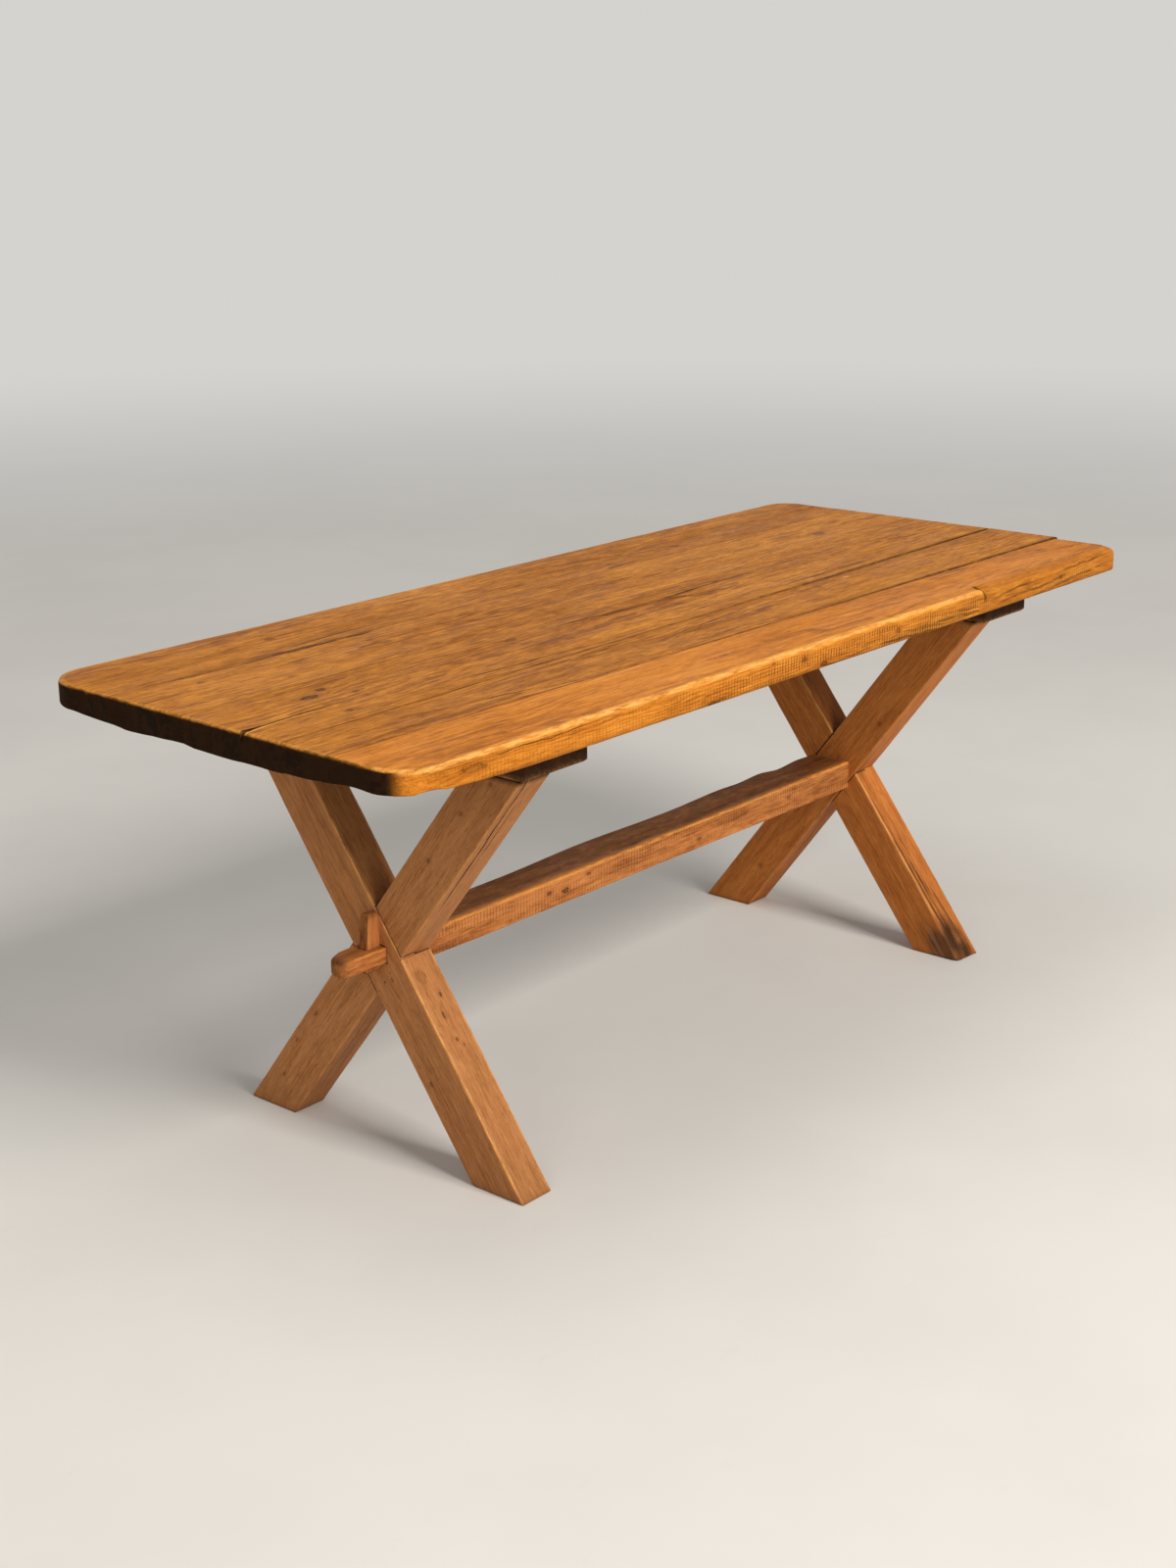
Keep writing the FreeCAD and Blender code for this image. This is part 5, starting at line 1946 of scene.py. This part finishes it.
class KeyShape:
    """A key's taper, read from the frame."""

    def __init__(self, side: Side) -> None:
        """Read the key of one end.

        Args:
            side: the end of the table.
        """
        self.node = f"{side.value}_key"
        self.low, self.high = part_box(self.node)
        self.face = self.low.x if side is Side.RIGHT else self.high.x
        points = node_points(self.node)
        self.foot_width = self.high.x - self.low.x
        upper = points[points[:, 2] > self.high.z - 6 * MM]
        widths = np.abs(upper[:, 0] - self.face)
        self.head_width = widths.max()
        self.head_level = upper[np.argmax(widths), 2]

    def width_at(self, height: float) -> float:
        """The key's width at a height."""
        share = (height - self.low.z) / (self.head_level - self.low.z)
        return self.foot_width + (self.head_width - self.foot_width) * share


@dataclass
class Key:
    """One tapered key, driven up through its tenon."""

    side: Side
    arris: float = 1.6 * MM
    head_easing: float = 4.5 * MM

    def build(self) -> None:
        """Make and dress the key."""
        key = KeyShape(self.side)
        height = key.high.z - key.low.z
        thick = key.high.y - key.low.y
        grid = BlockGrid(
            arris_lines(1.0, 0.06, 0.06, 0.2),
            arris_lines(thick, self.arris, self.arris, 3 * MM),
            arris_lines(height, self.arris, self.head_easing, 4 * MM),
        )
        share, across, up = grid.points.T
        width = np.array([key.width_at(key.low.z + value) for value in up])
        rough = Unevenness(71 + (self.side is Side.RIGHT))
        along = share * width
        side_inset = np.minimum(across, thick - across)
        along_inset = np.minimum(along, width - along)
        spot = np.stack([along, across, up], axis=1)
        arris = self.arris * (0.8 + 0.4 * rough.at(spot, (40.0, 40.0, 30.0)))
        pull = arc_drop(side_inset, arris)
        along = np.where(share > 0.5, along - pull, along)
        from_head = height - up
        rim_inset = np.minimum(side_inset, along_inset)
        head_drop = arc_drop(np.minimum(rim_inset, self.head_easing), self.head_easing)
        head_share = smooth_step(-from_head, -2 * self.head_easing, 0.0)
        z = key.low.z + up - head_drop * head_share
        z = z + arc_drop(rim_inset, self.arris) * smooth_step(-up, -4 * MM, 0.0)
        x = key.face + self.side.outward * along
        y = key.low.y + across
        piece = grid.to_object(f"{key.node}_wedge", np.stack([x, y, z], axis=1))
        if self.side is Side.LEFT:
            piece.data.flip_normals()
        rim = np.hypot(side_inset, np.maximum(width - share * width, 0.0))
        wear_and_highlight = 0.7 * bell(rim, 2 * MM)
        dirt_and_shade = 0.35 * smooth_step(up, height - 6 * MM, height)
        dirt_and_shade = np.maximum(dirt_and_shade, (0.62 + 0.2 * rough.at(spot + 6.0, (50.0, 50.0, 40.0))) * (share > 0.99))
        grain = np.stack([z, y - key.low.y, (x - key.face) + 0.04], axis=1)
        surface = Surface(grain, wear_and_highlight, dirt_and_shade, 0.6 * (1.0 - smooth_step(up, 0.0, 2 * MM)))
        dress(piece, key.node, KEY_FINISH, surface, 55 + (self.side is Side.RIGHT), key.node)


def dress_tongues() -> None:
    """Give the loose tongues, which stay as the frame has them, their bare wood."""
    for node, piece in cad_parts.items():
        if node.endswith("_tongue"):
            material = TONGUE_FINISH.material(node, 90 + int(node.split("_")[1]), is_worked=False)
            for slot in piece.material_slots:
                slot.material = material


@dataclass(frozen=True)
class Studio:
    """A plain pale floor under soft light, and the camera."""

    floor_colour: Colour = (0.74, 0.72, 0.68)
    floor_reach: float = 14.0
    backdrop: Colour = (0.66, 0.65, 0.63)
    camera_place: Point = (-2.82580, -2.28184, 1.56671)
    camera_yaw: float = 49.6128
    camera_pitch: float = -17.2991
    camera_roll: float = -0.3735
    focal_length: float = 51.151
    sky_colour: Colour = (1.0, 0.985, 0.965)
    sky_strength: float = 0.36

    def build(self) -> None:
        """Set the stage."""
        scene = bpy.context.scene
        scene.view_settings.view_transform = "Standard"
        self._floor()
        self._world()
        self._lamp("key_light", (-0.6, -6.9, 5.6), (0.0, 0.0, 0.4), 3.2, 660.0, (1.0, 0.965, 0.92))
        self._lamp("fill_light", (-6.6, -2.2, 3.2), (0.0, 0.0, 0.4), 3.6, 66.0, (1.0, 0.975, 0.95))
        self._lamp("top_light", (-1.0, 0.6, 6.0), (0.0, 0.0, 0.5), 3.0, 50.0, (1.0, 0.975, 0.94))
        self._camera()

    def _floor(self) -> None:
        """A wide pale floor with faint scuffs, which turns into the backdrop far off."""
        sides = 96
        turns = [2.0 * math.pi * step / sides for step in range(sides)]
        reach = self.floor_reach
        points = [(reach * math.cos(turn), reach * math.sin(turn), 0.0) for turn in turns]
        floor = new_object("floor", points, [list(range(sides))])
        wiring = Wiring("floor_paint")
        place = wiring.node("TexCoord").outputs["Object"]
        cloud = wiring.noise(place, (1.1, 1.1, 1.1), 4.0, 0.6)
        scuffs = wiring.span(wiring.noise(place, (7.0, 19.0, 7.0), 5.0, 0.65), 0.62, 0.78)
        darker = tuple(0.95 * part for part in self.floor_colour)
        scuffed = tuple(0.7 * part for part in self.floor_colour)
        colour = wiring.mix(wiring.span(cloud, 0.35, 0.65), self.floor_colour, darker)
        colour = wiring.mix(wiring.times(scuffs, 0.12), colour, scuffed)
        paint = {"Base Color": colour, "Roughness": 0.75, "Specular IOR Level": 0.2}
        shader = wiring.node("BsdfPrincipled", paint)
        away = wiring.node("VectorMath", {0: place}, operation="LENGTH").outputs["Value"]
        far = wiring.times(wiring.span(away, 2.2, 0.75 * self.floor_reach), self._seen(wiring))
        sweep = wiring.node("Emission", {"Color": self.backdrop})
        both = {0: far, 1: shader.outputs[0], 2: sweep.outputs[0]}
        floor.data.materials.append(wiring.finish(wiring.node("MixShader", both)))

    @staticmethod
    def _seen(wiring: Wiring) -> Socket:
        """Whether a ray shows a thing to the camera, straight or by way of metal or glass.

        Args:
            wiring: the material's wiring.

        Returns:
            1 where it does, or 0.
        """
        path = wiring.node("LightPath").outputs
        seen = wiring.math("MAXIMUM", path["Is Camera Ray"], path["Is Glossy Ray"])
        return wiring.math("MAXIMUM", seen, path["Is Transmission Ray"])

    def _world(self) -> None:
        """Even light from all round, with a pale backdrop behind the table."""
        world = bpy.data.worlds.new("studio")
        bpy.context.scene.world = world
        wiring = Wiring.of_world(world)
        backdrop = wiring.node("Background", {"Color": self.backdrop})
        light = wiring.node("Background", {"Color": self.sky_colour, "Strength": self.sky_strength})
        both = {0: self._seen(wiring), 1: light.outputs[0], 2: backdrop.outputs[0]}
        mixed = wiring.node("MixShader", both)
        wiring.node("OutputWorld", {"Surface": mixed.outputs[0]})

    @staticmethod
    def _lamp(name: str, place: Point, target: Point, size: float, power: float, colour: Colour) -> None:
        """A soft square lamp aimed at a point.

        Args:
            name: the lamp's name.
            place: where it hangs.
            target: the point that it is aimed at.
            size: its side.
            power: its power in watts.
            colour: its light's colour.
        """
        lamp = bpy.data.lights.new(name, "AREA")
        lamp.shape = "SQUARE"
        lamp.size = size
        lamp.energy = power
        lamp.color = colour
        holder = bpy.data.objects.new(name, lamp)
        holder.location = place
        holder.rotation_euler = (Vector(target) - Vector(place)).to_track_quat("-Z", "Y").to_euler()
        bpy.context.scene.collection.objects.link(holder)

    def _camera(self) -> None:
        """The camera, placed by its heading from +Y towards +X, its tilt and its roll."""
        yaw, pitch, roll = map(math.radians, (self.camera_yaw, self.camera_pitch, self.camera_roll))
        forward = Vector((math.sin(yaw) * math.cos(pitch), math.cos(yaw) * math.cos(pitch), math.sin(pitch)))
        level = forward.cross(Vector((0.0, 0.0, 1.0))).normalized()
        upright = level.cross(forward)
        right = level * math.cos(roll) + upright * math.sin(roll)
        up = upright * math.cos(roll) - level * math.sin(roll)
        lens = bpy.data.cameras.new("camera")
        lens.lens = self.focal_length
        lens.sensor_width = 36.0
        lens.clip_end = 60.0
        camera = bpy.data.objects.new("camera", lens)
        turn = Matrix((right, up, -forward)).transposed().to_4x4()
        camera.matrix_world = Matrix.Translation(self.camera_place) @ turn
        bpy.context.scene.collection.objects.link(camera)
        bpy.context.scene.camera = camera


# ---- the marks of this table


LEVEL = 750.0
FRONT = -385.0
Row = tuple[float, ...]
Face = Callable[[float, float], Point]


def on_top(x: float, y: float) -> Point:
    """A point of the upper face, from millimetres."""
    return (x * MM, y * MM, LEVEL * MM)


def on_front(x: float, z: float) -> Point:
    """A point of the front edge, from millimetres."""
    return (x * MM, FRONT * MM, z * MM)


def on_beam(foot: float, slope: float) -> Face:
    """The front side face of a beam, by its place across the table at the floor and its slope."""
    return lambda x, z: (x * MM, (foot + slope * z) * MM, z * MM)


def path(face: Face, *places: Row) -> tuple[Point, ...]:
    """Points of a face, from millimetres."""
    return tuple(face(*place) for place in places)


def lines(face: Face, *rows: Row, is_pale: bool = False) -> tuple[Streak, ...]:
    """Dark lines or pale scratches of a face, by start, stop and width in millimetres, and tone."""
    sort = {"is_pale": is_pale, "is_on_edge": face is not on_top}
    return tuple(Streak(*path(face, row[:2], row[2:4]), row[4] * MM, row[5], **sort) for row in rows)


def knots(*rows: Row) -> tuple[Knot, ...]:
    """Knots, from their places and sizes in millimetres, their tones and some of their stretches."""
    return tuple(Knot((x * MM, y * MM, z * MM), size * MM, *shape) for x, y, z, size, *shape in rows)


def top_marks() -> dict[str, Marks]:
    """The cracks, knots and dark lines of the planks, by node.

    Returns:
        The marks of each plank.
    """
    split = path(on_top, (-966, -71), (-905, -70), (-850, -66), (-770, -62))
    split_mouth = path(on_top, (-972, -74), (-940, -72), (-905, -69))
    heart_crack = path(on_top, (-176, 3), (-90, -3), (0, -6), (57, -7))
    upper_branch = path(on_top, (50, -8), (120, 3), (230, 9), (330, 13))
    lower_branch = path(on_top, (52, -8), (92, -20), (120, -36), (150, -39))
    return {
        "top_board_back": Marks(
            streaks=lines(
                on_top,
                (-600, 232, -385, 246, 3.0, 0.8), (160, 229, 300, 236, 4.0, 0.6),
                (-380, 262, -250, 258, 3.0, 0.5),
            ),
            knots=knots((-560, 300, LEVEL, 4, 0.5), (420, 262, LEVEL, 6, 0.4)),
        ),
        "top_board_mid_back": Marks(
            streaks=lines(
                on_top,
                (-860, 211, -560, 210, 3.4, 1.0), (-660, 210, -390, 213, 5.0, 1.0),
                (-935, 74, -360, 69, 1.6, 0.6), (-520, 150, -430, 146, 3.0, 0.6),
            ),
            knots=knots(
                (-804, 175, LEVEL, 3, 0.6), (-466, 172, LEVEL, 4, 0.6), (-460, 141, LEVEL, 3, 0.5),
                (-698, 97, LEVEL, 3, 0.6), (690, 122, LEVEL, 8, 0.6),
            ),
        ),
        "top_board_centre": Marks(
            cracks=(
                Crack(split, 3.4 * MM, 14 * MM, open_start=True, seed=3),
                Crack(split_mouth, 11 * MM, 17 * MM, open_start=True, seed=8),
                Crack(heart_crack, 2.4 * MM, 9 * MM, seed=4),
                Crack(upper_branch, 1.8 * MM, 6 * MM, seed=5),
                Crack(lower_branch, 1.9 * MM, 6 * MM, seed=6),
            ),
            streaks=lines(on_top, (-790, -63, -640, -58, 1.6, 0.8))
            + lines(
                on_top,
                (-965, -81, -880, -73, 2.4, 1.0), (-900, -74, -790, -66, 1.8, 0.9),
                (-80, -20, 20, -24, 1.2, 0.5),
                is_pale=True,
            )
            + lines(
                on_top,
                (-585, -106, -260, -119, 3.0, 0.8), (-935, 50, -560, 54, 1.8, 0.5),
                (-738, 24, -640, 34, 6.0, 0.45), (-716, 0, -640, 10, 5.0, 0.40),
                (-705, -38, -650, -30, 3.0, 0.60), (-260, 8, -120, 0, 2.4, 0.8),
                (20, -6, 170, 6, 4.5, 0.8), (60, -12, 200, -40, 4.0, 0.7),
                (330, 13, 620, 20, 2.2, 0.7), (250, -96, 560, -92, 3.2, 0.7),
            ),
            knots=knots(
                (-763, -11, LEVEL, 6.5, 0.95, 2.2), (-723, 9, LEVEL, 5.5, 0.9, 1.4),
                (-697, -36, LEVEL, 3, 0.7, 2.2), (-772, -104, LEVEL, 4, 0.7),
                (-330, -3, LEVEL, 5, 0.4, 2.4),
            ),
        ),
        "top_board_mid_front": Marks(
            streaks=lines(
                on_top,
                (-654, -202, -510, -224, 2.6, 0.8), (-848, -205, -741, -235, 2.2, 0.6),
                (-600, -156, -200, -150, 2.4, 0.8), (-120, -170, 90, -160, 3.0, 0.6),
            )
            + lines(
                on_top,
                (-600, -236, -420, -247, 1.8, 0.6), (-60, -168, 10, -174, 1.2, 0.8),
                (380, -140, 402, -143, 3.0, 0.9),
                is_pale=True,
            ),
            knots=knots((-240, -190, LEVEL, 4, 0.4)),
        ),
        "top_board_front": Marks(
            streaks=lines(on_top, (500, -262, 640, -270, 4.0, 0.7))
            + lines(
                on_top,
                (-470, -262, -300, -256, 2.4, 0.7), (-280, -262, -120, -258, 1.6, 0.5),
                is_pale=True,
            )
            + lines(
                on_front,
                (-810, 739, -560, 740, 1.2, 0.7), (-60, 711, 120, 709, 2.0, 0.7),
                (110, 717, 310, 708, 3.0, 0.65), (190, 723, 350, 712, 2.4, 0.5),
                (290, 720, 455, 716, 4.0, 0.6), (330, 729, 450, 723, 2.6, 0.5),
                (465, 726, 640, 738, 3.0, 0.55), (480, 714, 760, 731, 3.2, 0.55),
                (600, 711, 905, 726, 3.2, 0.55), (700, 738, 900, 741, 2.2, 0.6),
            ),
            knots=knots(
                (-81, FRONT, 731, 4, 0.6, 1.6), (-27, FRONT, 714, 3.5, 0.7, 2.2),
                (-161, FRONT, 739, 2.5, 0.5, 1.6), (184, FRONT, 727, 4, 0.6, 1.4),
                (-309, FRONT, 708, 4, 0.7, 3.0), (717, FRONT, 727, 3.5, 0.6, 1.5),
                (-825, FRONT, 731, 5, 0.45, 4.5),
            ),
        ),
    }


def left_marks() -> dict[Lap, Marks]:
    """The drying cracks and the knots of the left trestle's beams.

    Returns:
        The marks of each beam.
    """
    side = on_beam(192.7, -0.7657)
    side_normal = (0.0, -0.794, -0.608)
    long_crack = path(side, (-633, 660), (-634, 580), (-631, 500), (-632, 420))
    fine_crack = path(side, (-620, 610), (-619, 560), (-621, 505))
    return {
        Lap.INNER: Marks(
            cracks=(
                Crack(long_crack, 1.6 * MM, 10 * MM, normal=side_normal, open_start=True, seed=9),
                Crack(fine_crack, 0.9 * MM, 5 * MM, normal=side_normal, seed=10),
            ),
            streaks=lines(
                side,
                (-633, 700, -632, 380, 2.0, 1.0), (-619, 640, -621, 470, 1.2, 0.8),
                (-604, 300, -606, 40, 1.6, 0.5), (-626, 240, -624, 20, 1.8, 0.5),
            ),
            knots=knots(
                (-648, -124, 499, 2.5, 0.6), (-648, -191, 585, 2.5, 0.5), (-648, -250, 640, 2.5, 0.5),
                (-648, 133, 190, 2.5, 0.6), (-648, 180, 132, 2.5, 0.5), (-648, 214, 63, 2.5, 0.5),
            ),
        ),
        Lap.OUTER: Marks(
            knots=knots(
                (-649, -118, 143, 2.5, 0.7), (-649, -123, 170, 1.4, 0.4), (-649, -41, 291, 1.8, 0.5),
                (-649, -145, 64, 2.5, 0.6), (-609, -101, 272, 2.2, 0.9), (-622, -120, 247, 2.0, 0.8, 2.4),
                (-619, -145, 214, 1.9, 0.8), (-611, -152, 205, 1.6, 0.7),
                (-628, -80, 300, 8.0, 0.3, 1.4), (-649, -203, 133, 2.5, 0.6),
            )
        ),
    }


def right_marks() -> dict[Lap, Marks]:
    """The dark lines and the knots of the right trestle's beams.

    Returns:
        The marks of each beam.
    """
    side = on_beam(-293.0, 0.7596)
    return {
        Lap.OUTER: Marks(
            streaks=lines(
                side,
                (593, 300, 595, 20, 4.5, 0.8), (603, 200, 606, 10, 5.0, 0.8), (612, 270, 611, 90, 2.4, 0.6),
                (620, 130, 626, 5, 5.0, 0.6), (590, 640, 589, 420, 2.0, 0.5),
            ),
            knots=knots((585.3, -150, 250, 2.5, 0.6), (585.3, -183, 150, 3.0, 0.6)),
        ),
        Lap.INNER: Marks(
            streaks=lines(side, (600, 640, 602, 420, 2.0, 0.6), (606, 300, 604, 30, 2.4, 0.6)),
            knots=knots((585.3, -97, 430, 2.5, 0.5), (585.3, 170, 90, 3.0, 0.5)),
        ),
    }


def stretcher_marks() -> Marks:
    """The knots of the stretcher's front and upper faces.

    Returns:
        The marks of the stretcher.
    """
    rows = (
        (-238, -31, 317, 3.6, 0.9, 1.8), (-279, -31, 322, 2.8, 0.8, 1.6),
        (-180, -31, 330, 2.0, 0.7, 2.4), (120, -31, 312, 2.6, 0.7, 2.0),
        (-43, -17, 345, 4.0, 0.7, 2.6), (390, -31, 322, 2.4, 0.6, 2.0),
    )
    return Marks(knots=knots(*rows))


def main() -> None:
    """Build the table and its stage, piece by piece."""
    logging.basicConfig(level=logging.INFO, format="%(name)s: %(message)s")
    PlankTop(marks=top_marks()).build()
    Trestle(Side.LEFT, marks=left_marks()).build()
    Trestle(Side.RIGHT, toe_wear=10 * MM, marks=right_marks()).build()
    Stretcher(marks=stretcher_marks()).build()
    for side in Side:
        Key(side).build()
    dress_tongues()
    Studio().build()


if __name__ == "__main__":
    main()
